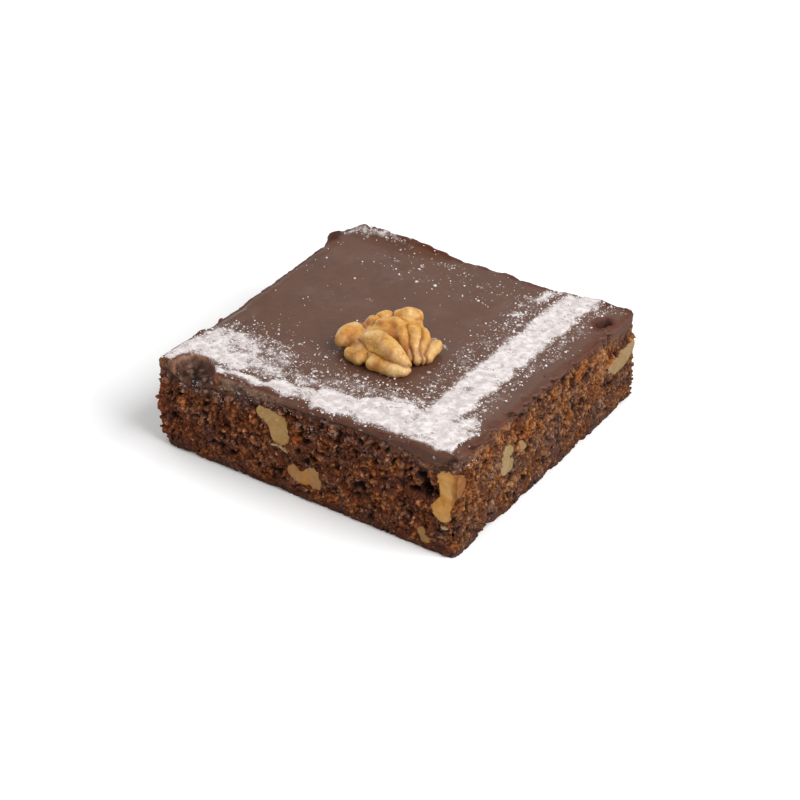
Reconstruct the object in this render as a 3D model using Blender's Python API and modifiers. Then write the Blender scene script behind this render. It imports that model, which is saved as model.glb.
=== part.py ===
"""A cut square of walnut brownie.

A block of chocolate cake carries a layer of chocolate icing that rolls over the cut edges. A walnut half
sits in the middle of the icing, and pieces of walnut baked into the cake show where the knife went through.
+Z is up, the brownie stands on z = 0, and the origin is under the middle of the square. Sizes are in
millimetres until the last step, which writes the meshes in metres.
"""

import math

import bmesh
import bpy
from mathutils import Matrix, Vector, noise

MM = 0.001

# The square in plan at the table and under the icing, corner by corner: left, front, right, back. The knife
# left it a little out of true, and it spreads towards its base.
BASE_CORNERS = (Vector((-40.8, -36.9)), Vector((40.2, -39.0)), Vector((40.1, 38.9)), Vector((-39.8, 38.4)))
TOP_CORNERS = (Vector((-40.5, -36.5)), Vector((39.7, -37.1)), Vector((40.5, 37.9)), Vector((-39.6, 37.9)))
CORNER_HEIGHT = 23.0  # of the top corners
HALF_SIDES = (40.2, 37.6)
CORNER_POWER = 40  # of the superellipse that rounds the corners in plan: higher is sharper
LEFT_BOW = 1.4  # how far the left side curves in at its middle

# Over each corner: the icing's height before its edge rolls down, and how far its lip hangs.
ICING_TOP = (22.6, 25.0, 23.2, 20.8)
LIP_HANG = (1.6, 0.9, 2.8, 1.2)
LIP_WAVE = (9.0, 0.6)  # length and height of the waves in the lip
ICING_THICKNESS = 2.0
ROLL_WIDTH = 3.0  # of the icing's rolled edge, and its depth
ROLL_DEPTH = 1.7
ICING_PROUD = 0.8  # how far the lip stands out past the cake's cut side

WALL_WAVE = (7.0, 0.35)  # the cut sides swell and dip
TOP_WAVE = (16.0, 0.3)
GAP = 0.3  # between touching pieces

# Places where the icing's surface sinks or rises: x, y, radius, height.
MOUNDS = (
    (-30.5, -37.5, 3.6, -3.0),  # slumped edge near the left corner
    (-6.0, -39.0, 5.5, -0.6),  # where the front edge droops
    (36.6, 29.0, 1.7, -1.0),  # burst bubble near the right corner
    (-39.5, 31.5, 1.8, 1.2),  # knob beside the back corner
    (-34.0, 38.6, 3.2, 2.2),  # thick ridge along the back edge
    (-27.0, 39.0, 3.4, 1.9),
    (-19.5, 39.0, 3.6, 1.7),
)

CAKE_CELLS = (14, 12, 4)
ICING_CELLS = (18, 16, 2)

# The walnut half. Each ridge is a chain of round sections: x, y, height over the icing and radius.
WALNUT_VOXEL = 1.05
WALNUT_RIDGES = {
    "left_knob": ((-6.6, -11.9, 2.5, 2.0), (-6.6, -10.0, 3.0, 2.3), (-6.2, -8.2, 3.3, 2.0)),
    "left_foot": ((-2.4, -15.0, 1.6, 1.6), (0.1, -15.5, 1.6, 1.7), (-0.3, -13.6, 2.4, 1.6)),
    "main_ridge": (
        (1.0, -11.7, 4.8, 2.1), (3.0, -11.8, 5.2, 2.3), (6.0, -12.9, 4.9, 2.4),
        (8.5, -13.7, 4.2, 2.2), (10.1, -13.6, 3.0, 1.8), (11.2, -13.2, 2.0, 1.1),
    ),
    "front_ridge": (
        (4.1, -16.1, 1.6, 1.6), (5.8, -16.0, 1.6, 1.5), (7.6, -15.9, 1.6, 1.7), (9.3, -15.7, 1.5, 1.7),
        (10.9, -14.9, 1.4, 1.5), (11.3, -13.8, 1.4, 1.2),
    ),
    "front_core": (
        (-4.0, -10.6, 1.8, 2.4), (0.5, -12.2, 2.2, 2.8), (5.0, -13.4, 2.2, 2.8), (8.6, -14.2, 1.6, 2.0),
    ),
    "rear_knob": ((-0.2, 0.1, 4.2, 1.5), (0.7, 0.7, 4.6, 1.9), (2.0, 1.6, 4.8, 2.1), (3.3, 2.3, 4.4, 2.0)),
    "back_lobe": ((-2.5, -0.9, 4.4, 1.6), (-2.8, -2.4, 4.4, 1.4)),
    "crown": ((-4.1, -5.0, 3.8, 1.4), (-3.2, -4.5, 4.6, 1.7)),
    "inner_arch": (
        (-0.7, -5.6, 5.2, 1.4), (0.6, -4.4, 5.4, 1.4), (2.2, -3.8, 5.6, 1.5), (4.3, -5.0, 5.2, 1.4),
        (5.7, -6.8, 4.4, 1.4), (7.0, -7.7, 3.4, 1.4), (8.7, -8.8, 2.4, 1.4), (10.0, -9.5, 1.5, 1.2),
    ),
    "middle_ridge": (
        (6.0, -3.8, 4.7, 1.3), (6.9, -3.5, 4.4, 1.5), (8.3, -5.6, 3.8, 1.5), (9.3, -7.5, 3.0, 1.4),
        (10.6, -8.9, 2.0, 1.4), (11.9, -9.9, 1.5, 1.2),
    ),
    "third_ridge": (
        (8.0, -1.7, 3.6, 1.4), (9.3, -3.1, 3.1, 1.4), (10.4, -5.9, 2.5, 1.4), (11.2, -7.7, 1.8, 1.4),
        (12.2, -8.9, 1.3, 1.3),
    ),
    "right_knob": ((11.9, -2.5, 1.9, 1.6), (11.9, -4.6, 1.7, 1.7), (12.7, -7.4, 1.5, 1.5)),
    "rear_core": (
        (-3.0, -3.4, 2.2, 2.4), (1.6, -0.6, 2.6, 2.9), (5.6, -2.6, 2.4, 2.6), (9.6, -5.2, 1.4, 2.0),
    ),
    "rear_foot": ((0.6, 0.8, 2.2, 2.4), (3.4, 1.4, 2.3, 2.3), (8.0, -2.2, 1.4, 1.8)),
    "join": ((-3.6, -9.6, 2.0, 2.3), (-3.0, -5.6, 2.2, 2.3)),
    "cleft_floor": ((-0.4, -8.4, 1.2, 1.8), (4.6, -9.6, 0.6, 1.4)),
}

# Walnut in the cake. Each piece gives its side (0 front, 1 right, 2 back, 3 left) and its chain of sections:
# place along the side in x or y, height over the table and radius. A section's middle lies this share of its
# radius in from the cut side.
PIECE_VOXEL = 1.6  # finer on a thin piece
PIECE_DEPTH = 0.35
PIECES = {
    "walnut_crescent": (0, ((-11.2, 18.2, 1.7), (-9.0, 17.5, 2.4), (-7.1, 16.5, 2.8), (-6.5, 13.9, 2.7))),
    "walnut_pair": (
        0,
        ((-2.6, 6.3, 2.0), (-1.3, 5.7, 2.1), (0.6, 5.4, 1.7), (2.3, 6.7, 2.5), (3.1, 5.4, 2.1)),
    ),
    "walnut_corner": (
        0,
        (
            (38.4, 17.6, 2.9), (36.9, 18.3, 2.7), (37.4, 15.3, 2.1), (36.9, 13.2, 1.9),
            (35.6, 11.0, 2.5), (36.3, 10.1, 2.2),
        ),
    ),
    "walnut_chip": (0, ((31.2, 3.9, 1.3), (32.4, 2.6, 1.5))),
    "walnut_bean": (
        1,
        ((-16.6, 15.3, 1.8), (-18.1, 15.8, 2.1), (-17.9, 13.8, 1.9), (-18.2, 12.3, 2.2), (-16.5, 11.8, 1.9)),
    ),
    "walnut_sliver": (1, ((-12.4, 14.6, 1.2), (-10.7, 13.4, 1.3))),
    "walnut_wedge": (1, ((27.5, 13.7, 2.1), (30.0, 12.9, 2.7), (33.0, 13.2, 2.9), (36.0, 14.3, 2.3))),
    "walnut_rear_bean": (2, ((-12.5, 11.6, 2.4), (-9.0, 13.4, 2.6))),
    "walnut_rear_slice": (2, ((19.0, 6.6, 2.0), (23.0, 8.0, 2.5))),
    "walnut_side_lobe": (3, ((9.0, 11.0, 2.3), (5.4, 13.0, 2.8))),
    "walnut_side_chip": (3, ((-16.6, 6.2, 1.8), (-20.0, 5.6, 2.1))),
}

# Linear colour and roughness.
LOOKS = {
    "cake": ((0.105, 0.042, 0.020), 0.85),
    "icing": ((0.105, 0.060, 0.045), 0.42),
    "walnut": ((0.610, 0.330, 0.110), 0.55),
    "walnut_cut": ((0.480, 0.330, 0.150), 0.60),
}


def over_corners(values, u, v):
    """The blend, at u and v from -1 to 1, of a value for each corner."""
    left, front, right, back = values
    west, east, south, north = 1 - u, 1 + u, 1 - v, 1 + v
    return (left * west * south + front * east * south + right * east * north + back * west * north) / 4


def corners(height):
    """The square's corners at this height."""
    return [base.lerp(top, height / CORNER_HEIGHT) for base, top in zip(BASE_CORNERS, TOP_CORNERS)]


def bow(u, v):
    """The shift inwards that curves the left side."""
    return Vector((LEFT_BOW * (1 - v**2) * (1 - u) / 2, 0))


def plan(u, v, grow, height):
    """Where u and v fall in the rounded square at this height, moved out by grow."""
    reach = max(abs(u), abs(v))
    if reach:
        rounding = (abs(u / reach) ** CORNER_POWER + abs(v / reach) ** CORNER_POWER) ** (-1 / CORNER_POWER)
        u, v = u * rounding, v * rounding
    grown = u * (1 + grow / HALF_SIDES[0]), v * (1 + grow / HALF_SIDES[1])
    return over_corners(corners(height), *grown) + bow(u, v)


def in_from_side(side, along, height, depth):
    """The point at this place along a cut side and this height, and this deep behind it."""
    at_height = corners(height)
    start, end = at_height[side], at_height[(side + 1) % 4]
    axis = side % 2
    spot = start.lerp(end, (along - start[axis]) / (end[axis] - start[axis]))
    if side == 3:
        spot += bow(-1, along / HALF_SIDES[1])
    way = (end - start).normalized()
    return Vector((spot.x - way.y * depth, spot.y + way.x * depth, height))


def wave(place, waves, seed):
    """Smooth noise, as long and about as high as these waves."""
    length, height = waves
    return height * noise.noise(Vector(place) / length + Vector((seed, 2 * seed, 3 * seed)))


def icing_top(u, v, place):
    height = over_corners(ICING_TOP, u, v) + wave((*place, 0), TOP_WAVE, 5)
    for x, y, radius, rise in MOUNDS:
        height += rise * math.exp(-(((place.x - x) ** 2 + (place.y - y) ** 2) / (2 * radius**2)))
    return height


def swollen(u, v, grow, height):
    """The plan's point at this height, with the swells of the cut sides on the outline."""
    spot = plan(u, v, grow, height)
    if max(abs(u), abs(v)) > 0.999:
        spot += spot.normalized() * wave((*plan(u, v, 0, height), height), WALL_WAVE, 1)
    return Vector((*spot, height))


def cake_shape(grow):
    """The cake's lattice points moved to their places, with every face but the base moved out by grow."""

    def place(u, v, w):
        top = icing_top(u, v, plan(u, v, grow, CORNER_HEIGHT)) - ICING_THICKNESS + grow
        return swollen(u, v, grow, (w + 1) / 2 * top)

    return place


def icing_shape(u, v, w):
    """The slab that the icing is cut from: a rolled upper edge, and a wavy lower edge on the lip."""
    spot = plan(u, v, ICING_PROUD, CORNER_HEIGHT)
    edge = min((1 - abs(u)) * HALF_SIDES[0], (1 - abs(v)) * HALF_SIDES[1], ROLL_WIDTH)
    top = icing_top(u, v, spot)
    rolled = top - ROLL_DEPTH * (1 - math.sqrt(1 - (1 - edge / ROLL_WIDTH) ** 2))
    hang = max(0.2, over_corners(LIP_HANG, u, v) + 1.6 * wave((*spot, 0), LIP_WAVE, 9))
    lip = top - ICING_THICKNESS - hang
    return swollen(u, v, ICING_PROUD, lip + (w + 1) / 2 * (rolled - lip))


def bed_shape(u, v, w):
    """All that lies below a surface just over the icing."""
    spot = plan(u, v, ICING_PROUD, CORNER_HEIGHT)
    return Vector((*spot, (w + 1) / 2 * (icing_top(u, v, spot) + GAP)))


def lattice(name, cells, shape, group):
    """A cube cut into cells, closing up towards its sides, whose points shape() moves to their places."""
    bm = bmesh.new()
    bmesh.ops.create_cube(bm, size=2)
    for axis, count in enumerate(cells):
        normal = Vector([float(i == axis) for i in range(3)])
        for i in range(1, count):
            at = 2 * i / count - 1
            if axis < 2:
                at = math.sin(math.pi / 2 * at)
            everything = bm.verts[:] + bm.edges[:] + bm.faces[:]
            bmesh.ops.bisect_plane(bm, geom=everything, plane_co=normal * at, plane_no=normal)
    for vert in bm.verts:
        vert.co = shape(*vert.co)
    return add_object(name, bm, group)


def chains(name, ridges, grow, voxel, group):
    """Chains of balls fused into one body. Each chain gives its sections as x, y, z and radius."""
    bm = bmesh.new()
    for chain in ridges:
        for start, end in zip(chain, chain[1:]):
            first, last = Vector(start), Vector(end)
            steps = max(2, math.ceil((last - first).xyz.length / (0.3 * first.w)))
            for i in range(steps + 1):
                section = first.lerp(last, i / steps)
                ball = Matrix.Translation(section.xyz)
                bmesh.ops.create_icosphere(bm, subdivisions=2, radius=section.w + grow, matrix=ball)
    body = add_object(name, bm, group)
    remesh = body.modifiers.new("fuse", "REMESH")
    remesh.mode = "VOXEL"
    remesh.voxel_size = voxel * MM
    remesh.adaptivity = 0.0
    return body


def add_object(name, bm, group):
    """An object in this collection from a mesh in millimetres."""
    bmesh.ops.scale(bm, vec=(MM, MM, MM), verts=bm.verts)
    bmesh.ops.recalc_face_normals(bm, faces=bm.faces)
    mesh = bpy.data.meshes.new(name)
    bm.to_mesh(mesh)
    bm.free()
    obj = bpy.data.objects.new(name, mesh)
    group.objects.link(obj)
    return obj


def boolean(obj, operation, other):
    modifier = obj.modifiers.new(other.name, "BOOLEAN")
    modifier.operation = operation
    modifier.solver = "EXACT"
    modifier.object = other


def as_cutter(obj):
    obj.hide_render = True
    obj.display_type = "WIRE"
    return obj


def material(look):
    """The material of this name in LOOKS, made when it is first asked for."""
    known = bpy.data.materials.get(look)
    if known:
        return known
    colour, roughness = LOOKS[look]
    made = bpy.data.materials.new(look)
    made.use_nodes = True
    surface = made.node_tree.nodes["Principled BSDF"]
    surface.inputs["Base Color"].default_value = (*colour, 1)
    surface.inputs["Roughness"].default_value = roughness
    return made


def finish(obj, look):
    obj.data.materials.append(material(look))
    obj.data.shade_smooth()
    obj.data.set_sharp_from_angle(angle=math.radians(35))


def make_cake(parts, cutters):
    """The cake, with a pocket for each piece of walnut, and the pieces, cut off level with its sides."""
    cake = lattice("cake", CAKE_CELLS, cake_shape(0), parts)
    envelope = as_cutter(lattice("cake_envelope", CAKE_CELLS, cake_shape(GAP / 2), cutters))
    for name, (side, sections) in PIECES.items():
        voxel = min(PIECE_VOXEL, 0.8 * min(radius for *_, radius in sections))
        chain = []
        for along, height, radius in sections:
            chain.append((*in_from_side(side, along, height, PIECE_DEPTH * radius), radius))
        pocket = as_cutter(chains(name + "_pocket", [chain], 1.5 * GAP, voxel, cutters))
        boolean(cake, "DIFFERENCE", pocket)
        piece = chains(name, [chain], 0, voxel, parts)
        boolean(piece, "INTERSECT", envelope)
        finish(piece, "walnut_cut")
    finish(cake, "cake")


def make_icing(parts, cutters):
    """The icing, hollowed out below so that it sits over the cake with a gap."""
    icing = lattice("icing", ICING_CELLS, icing_shape, parts)
    hollow = as_cutter(lattice("icing_hollow", CAKE_CELLS, cake_shape(GAP), cutters))
    boolean(icing, "DIFFERENCE", hollow)
    finish(icing, "icing")


def make_walnut(parts, cutters):
    """The walnut half, whose underside follows the icing."""
    ridges = []
    for chain in WALNUT_RIDGES.values():
        ridges.append([])
        for x, y, height, radius in chain:
            icing = icing_top(x / HALF_SIDES[0], y / HALF_SIDES[1], Vector((x, y)))
            ridges[-1].append((x, y, icing + height, radius))
    walnut = chains("walnut_half", ridges, 0, WALNUT_VOXEL, parts)
    bed = as_cutter(lattice("walnut_bed", ICING_CELLS, bed_shape, cutters))
    boolean(walnut, "DIFFERENCE", bed)
    finish(walnut, "walnut")


def main():
    for obj in list(bpy.data.objects):
        bpy.data.objects.remove(obj)
    groups = []
    for name in ("walnut_brownie", "cutters"):
        group = bpy.data.collections.new(name)
        bpy.context.scene.collection.children.link(group)
        groups.append(group)
    make_cake(*groups)
    make_icing(*groups)
    make_walnut(*groups)


main()
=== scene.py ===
"""Looks of the walnut brownie: the open crumb of its cut sides, satin icing, powdered sugar and walnut.

Shapes are worked out in millimetres, with numpy, and become meshes in metres at the end. The front side is
the one towards -Y and the right side the one towards +X. Lights and camera are placed in metres.
"""

import itertools
import math

import bmesh
import bpy
import numpy as np
from mathutils import Matrix, Vector


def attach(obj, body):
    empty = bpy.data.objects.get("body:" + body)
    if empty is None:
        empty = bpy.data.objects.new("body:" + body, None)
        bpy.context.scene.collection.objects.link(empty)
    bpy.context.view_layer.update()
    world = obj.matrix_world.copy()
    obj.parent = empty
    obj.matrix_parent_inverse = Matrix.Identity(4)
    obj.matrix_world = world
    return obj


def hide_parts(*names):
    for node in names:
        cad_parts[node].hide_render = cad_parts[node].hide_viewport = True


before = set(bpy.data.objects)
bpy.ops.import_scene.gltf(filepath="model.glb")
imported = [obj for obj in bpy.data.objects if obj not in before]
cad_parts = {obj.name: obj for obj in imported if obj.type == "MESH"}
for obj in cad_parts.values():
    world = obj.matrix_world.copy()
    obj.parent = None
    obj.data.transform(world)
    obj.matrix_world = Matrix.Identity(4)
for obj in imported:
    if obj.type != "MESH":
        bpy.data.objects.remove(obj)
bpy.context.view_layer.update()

MM = 0.001

# The square in plan at the table and under the icing, corner by corner: left, front, right, back.
BASE_CORNERS = np.array([(-40.8, -36.9), (40.2, -39.0), (40.1, 38.9), (-39.8, 38.4)])
TOP_CORNERS = np.array([(-40.5, -36.5), (39.7, -37.1), (40.5, 37.9), (-39.6, 37.9)])
CORNER_HEIGHT = 23.0  # of the top corners
HALF_SIDES = np.array([40.2, 37.6])
CORNER_POWER = 40  # of the superellipse that rounds the corners in plan
LEFT_BOW = 1.4  # how far the left side curves in at its middle

# The icing's height over each corner.
ICING_TOP = (22.6, 25.0, 23.2, 20.8)

FRONT, RIGHT, BACK, LEFT = range(4)


# ---------------------------------------------------------------- numbers


def smoothstep(low, high, x):
    """0 up to low and 1 from high, with a smooth rise between them. Where low is the larger, it falls."""
    t = np.clip((x - low) / (high - low), 0, 1)
    return t * t * (3 - 2 * t)


def bell(x, middle, width):
    """1 at the middle, falling off to both sides."""
    return np.exp(-(((x - middle) / width) ** 2))


def scrambled(cells, seed):
    """A random number from 0 to 1 for each whole-numbered cell."""
    x, y, z = (cells[..., i].astype(np.int64).astype(np.uint32) for i in range(3))
    hashed = x * np.uint32(0x8DA6B343) ^ y * np.uint32(0xD8163841) ^ z * np.uint32(0xCB1AB31F)
    hashed ^= np.uint32(seed * 0x9E3779B1 & 0xFFFFFFFF)
    hashed ^= hashed >> np.uint32(15)
    hashed *= np.uint32(0x2C1B3C6D)
    hashed ^= hashed >> np.uint32(12)
    hashed *= np.uint32(0x297A2D39)
    hashed ^= hashed >> np.uint32(15)
    return hashed / 2.0**32


def swells(points, length, seed):
    """Smooth noise, from about -1 to 1, whose swells are of this length."""
    scaled = points / length
    base = np.floor(scaled)
    within = scaled - base
    fade = within * within * within * (within * (within * 6 - 15) + 10)
    total = np.zeros(scaled.shape[:-1])
    for corner in itertools.product((0, 1), repeat=3):
        cell = base + corner
        slope = np.stack([scrambled(cell, 3 * seed + i) for i in range(3)], -1) * 2 - 1
        weight = np.prod(np.where(corner, fade, 1 - fade), -1)
        total += weight * (slope * (within - corner)).sum(-1)
    return total * 1.7


def rough(points, length, seed, octaves=3):
    """Swells with finer swells on them."""
    return sum(swells(points, length / 2**i, seed + i) / 2**i for i in range(octaves))


def wander(points, length, reach, seed):
    """Points pushed about by swells, at most about as far as reach."""
    return points + reach * np.stack([swells(points, length, seed + i) for i in range(3)], -1)


def nuclei(points, size, seed):
    """Distance to the nearest of scattered nuclei, in units of size, and that nucleus's random number."""
    scaled = points / size
    base = np.floor(scaled)
    nearest = np.full(scaled.shape[:-1], 9.0)
    tag = np.zeros(scaled.shape[:-1])
    for offset in itertools.product((-1, 0, 1), repeat=3):
        cell = base + offset
        shift = 0.9 * (np.stack([scrambled(cell, 5 * seed + i) for i in range(3)], -1) - 0.5)
        distance = np.linalg.norm(scaled - (cell + 0.5 + shift), axis=-1)
        closer = distance < nearest
        tag = np.where(closer, scrambled(cell, 5 * seed + 4), tag)
        nearest = np.where(closer, distance, nearest)
    return nearest, tag


def mixed(colour_a, colour_b, share):
    """Colour a where share is 0 and colour b where it is 1."""
    share = np.clip(share, 0, 1)[..., None]
    return np.asarray(colour_a) * (1 - share) + np.asarray(colour_b) * share


def read_off(pairs, x):
    """The value at x, from pairs of a place and the value there."""
    return np.interp(x, *np.array(pairs).T)


def with_z(x, y, z=0.0):
    """Points from their x, y and z."""
    return np.stack(np.broadcast_arrays(x, y, z), -1).astype(float)


# ---------------------------------------------------------------- the block's form


def over_corners(values, u, v):
    """The blend, at u and v from -1 to 1, of a value for each corner."""
    left, front, right, back = values
    west, east, south, north = 1 - u, 1 + u, 1 - v, 1 + v
    return (left * west * south + front * east * south + right * east * north + back * west * north) / 4


def corner_at(index, height):
    """x and y of a corner of the square at this height."""
    share = np.asarray(height) / CORNER_HEIGHT
    base, top = BASE_CORNERS[index % 4], TOP_CORNERS[index % 4]
    return tuple(base[i] + (top[i] - base[i]) * share for i in (0, 1))


def left_bow(u, v):
    """How far the curve of the left side moves a point in."""
    return LEFT_BOW * (1 - v**2) * (1 - u) / 2


def reach_of(u, v):
    """How far out in the square from -1 to 1 a point is."""
    return np.maximum(np.maximum(abs(u), abs(v)), 1e-9)


def rounding(u, v):
    """What brings points on the square's rim in to its rounded corners."""
    return np.maximum(abs(u) ** CORNER_POWER + abs(v) ** CORNER_POWER, 1) ** (-1 / CORNER_POWER)


def plan(u, v, grow=0.0, height=CORNER_HEIGHT):
    """x and y of u and v, from -1 to 1, in the rounded square at this height, moved out by grow."""
    reach = reach_of(u, v)
    shrink = rounding(u / reach, v / reach)
    u, v = u * shrink, v * shrink
    grown = u * (1 + grow / HALF_SIDES[0]), v * (1 + grow / HALF_SIDES[1])
    corners = [corner_at(i, height) for i in range(4)]
    x, y = (over_corners([corner[i] for corner in corners], *grown) for i in (0, 1))
    return x + left_bow(u, v), y


def way_out(u, v):
    """The outward direction, in plan, at points on the rounded square's rim."""
    power = CORNER_POWER - 1
    way = np.stack([np.sign(u) * abs(u) ** power, np.sign(v) * abs(v) ** power], -1)
    return way / np.maximum(np.linalg.norm(way, axis=-1, keepdims=True), 1e-9)


def side_distances(x, y):
    """How far inside each of the four sides, under the icing, a point is: front, right, back, left."""
    distances = []
    for i in range(4):
        start, end = TOP_CORNERS[i], TOP_CORNERS[(i + 1) % 4]
        along = (end - start) / np.linalg.norm(end - start)
        distances.append(-(x - start[0]) * along[1] + (y - start[1]) * along[0])
    distances[LEFT] = distances[LEFT] - left_bow(-1.0, y / HALF_SIDES[1])
    return distances


def behind_side(side, along, height, depth):
    """The point at this place along a cut side and this height, and this deep behind it."""
    start, end = np.array(corner_at(side, height)), np.array(corner_at(side + 1, height))
    axis = side % 2
    spot = start + (end - start) * (along - start[axis]) / (end[axis] - start[axis])
    if side == LEFT:
        spot[0] += left_bow(-1.0, along / HALF_SIDES[1])
    way = (end - start) / np.linalg.norm(end - start)
    return spot[0] - way[1] * depth, spot[1] + way[0] * depth, height


# Places where the icing's surface sinks or rises: x, y, radius, height.
MOUNDS = (
    (-40.9, 30.9, 1.6, 3.5),  # knob beside the back corner
    (-39.8, 33.2, 1.3, 0.9),
    (-37.6, 35.6, 1.2, -0.5),
    (-33.6, 38.8, 1.9, 2.3),  # thick ridge along the back edge
    (-28.8, 39.2, 2.6, 2.8),
    (-22.5, 39.4, 3.0, 2.5),
    (-16.5, 39.6, 2.8, 2.1),
    (-11.0, 39.6, 2.2, 1.1),
    (14.5, 39.5, 4.5, -0.9),
    (30.5, 38.5, 2.2, 0.8),
    (-39.8, -21.0, 1.3, 0.9),
    (-40.0, -17.0, 2.4, -0.8),
    (-39.6, -8.0, 2.8, -0.8),
)
BUBBLE = (36.9, 28.6, 1.8, 2.4)  # burst in the icing: x, y, radius, depth


# At places in x along the front edge: how far in from it the icing starts to droop, and how far it droops.
RIM_WIDTHS = (
    (-40, 1.8), (-25, 2.4), (-17, 2.2), (-11, 2.6), (-5, 3.2), (1, 3.0), (7, 2.2), (11, 1.6), (17, 1.4),
    (21, 1.2), (29, 1.0), (35, 2.2), (40, 2.6),
)
RIM_DROPS = (
    (-40, 0.7), (-33, 1.2), (-20, 1.3), (-10, 1.3), (-3, 1.3), (3, 0.9), (12, 0.9), (22, 1.2), (29, 1.4),
    (35, 1.5), (40, 1.4),
)

# The height to which the icing hangs down, at places in x along the front and in y along the right side.
FRONT_LIP = (
    (-40, 19.4), (-36, 18.8), (-33, 19.4), (-24, 18.4), (-20, 19.2), (-16, 20.2), (-10, 21.2), (-3, 22.4),
    (3.5, 23.5), (12, 23.0), (22, 22.2), (26, 21.6), (29, 20.7), (32.5, 19.8), (36, 21.2), (40, 21.6),
)
RIGHT_LIP = (
    (-38, 21.6), (-33, 22.2), (-28, 23.0), (-22, 23.3), (-15, 24.0), (-5, 24.0), (0, 23.5), (8, 23.6),
    (12, 23.8), (17, 23.6), (20, 22.8), (23, 21.8), (26, 20.0), (28, 19.2), (33, 18.8), (38, 18.3),
)


def front_dent(x, y):
    """Distance from the middle of the hollow in the front edge near the left corner, 1 at its brink."""
    return np.hypot((x + 29.8 + 0.20 * (y + 37)) / 5.6, (y + 37.8) / 6.3)


def bubble_distance(x, y):
    """Distance from the middle of the burst bubble, about 1 at its ragged rim."""
    flat = with_z(x, y)
    reach = np.hypot(x - BUBBLE[0], (y - BUBBLE[1]) / 1.25) / BUBBLE[2]
    return reach + 0.35 * swells(flat, 1.6, 117) + 0.12 * swells(flat, 0.7, 126)


def top_height(x, y):
    """The height of the icing's surface."""
    u, v = x / HALF_SIDES[0], y / HALF_SIDES[1]
    flat = with_z(x, y)
    height = over_corners(ICING_TOP, u, v)
    height = height + 0.20 * swells(flat, 17, 5) + 0.06 * swells(flat, 6, 6) + 0.015 * swells(flat, 2.2, 7)
    for at_x, at_y, radius, rise in MOUNDS:
        height += rise * np.exp(-((x - at_x) ** 2 + (y - at_y) ** 2) / (2 * radius**2))
    front, right, back, left = side_distances(x, y)
    height += 0.38 * rough(flat, 4.0, 11, 4) * smoothstep(2.6, 0.5, back)
    height += 0.16 * rough(flat, 2.2, 127) * smoothstep(1.6, 0.3, np.minimum(left, right))
    droops = (
        (front, read_off(RIM_WIDTHS, x), read_off(RIM_DROPS, x)),
        (right, 1.7, 0.7),
        (back, 1.4, 0.4),
        (left, 3.6, 0.95),
    )
    for inside, width, drop in droops:
        width = width * (1 + 0.25 * swells(flat, 7, 8) + 0.3 * swells(flat, 3, 9))
        height -= drop * np.clip(1 - inside / width, 0, 1.2) ** 2
    brink = front_dent(x, y) + 0.05 * swells(flat, 2.5, 12)
    height += (
        0.25 * bell(brink, 1.10, 0.10)
        - 2.5 * smoothstep(1.02, 0.80, brink)
        - 0.9 * smoothstep(0.9, 0.1, brink)
    )
    pit = bubble_distance(x, y)
    return height - BUBBLE[3] * smoothstep(1.0, 0.5, pit) + 0.25 * bell(pit, 1.25, 0.25)


def lip_height(x, y):
    """The height to which the icing hangs down on the cut sides."""
    front, right, back, left = side_distances(x, y)
    nominal = over_corners(ICING_TOP, x / HALF_SIDES[0], y / HALF_SIDES[1])
    flat = with_z(x, y)
    heights = np.stack([
        read_off(FRONT_LIP, x),
        read_off(RIGHT_LIP, y),
        nominal - 2.6 - 1.2 * swells(flat, 13, 61),
        nominal - 2.6 - 1.2 * swells(flat, 13, 62),
    ], -1)
    closeness = np.stack([np.exp(-abs(d) / 0.8) for d in (front, right, back, left)], -1)
    height = (closeness * heights).sum(-1) / closeness.sum(-1)
    return np.minimum(height + 0.5 * rough(flat, 3.4, 63, 4), top_height(x, y) - 0.45)


def edge_setback(x, y):
    """How far the icing's edge lies back from the cut sides, which is most on the right."""
    flat = with_z(x, y)
    _, right, back, left = side_distances(x, y)
    ragged = rough(flat, 3.6, 65)
    bites = np.clip(ragged - 0.05, 0, None)
    right_part = smoothstep(5.0, 0.5, right) * smoothstep(30.0, 24.0, y) * (0.2 + 2.3 * bites)
    back_part = smoothstep(4.0, 0.5, back) * (0.1 + 0.7 * bites)
    left_part = smoothstep(4.0, 0.5, left) * (0.1 + 0.5 * bites)
    knob_part = -0.9 * np.exp(-((x + 40) ** 2 + (y - 31.0) ** 2) / 2.4)
    return np.maximum(np.maximum(right_part, back_part), left_part) + knob_part


def set_back(points):
    """Points of the icing moved in from the cut sides by the setback of its edge."""
    u, v = points[:, 0] / HALF_SIDES[0], points[:, 1] / HALF_SIDES[1]
    reach = reach_of(u, v)
    way = way_out(u / reach, v / reach)
    moved = points.copy()
    moved[:, :2] -= way * edge_setback(points[:, 0], points[:, 1])[:, None]
    return moved


# ---------------------------------------------------------------- meshes


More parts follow.
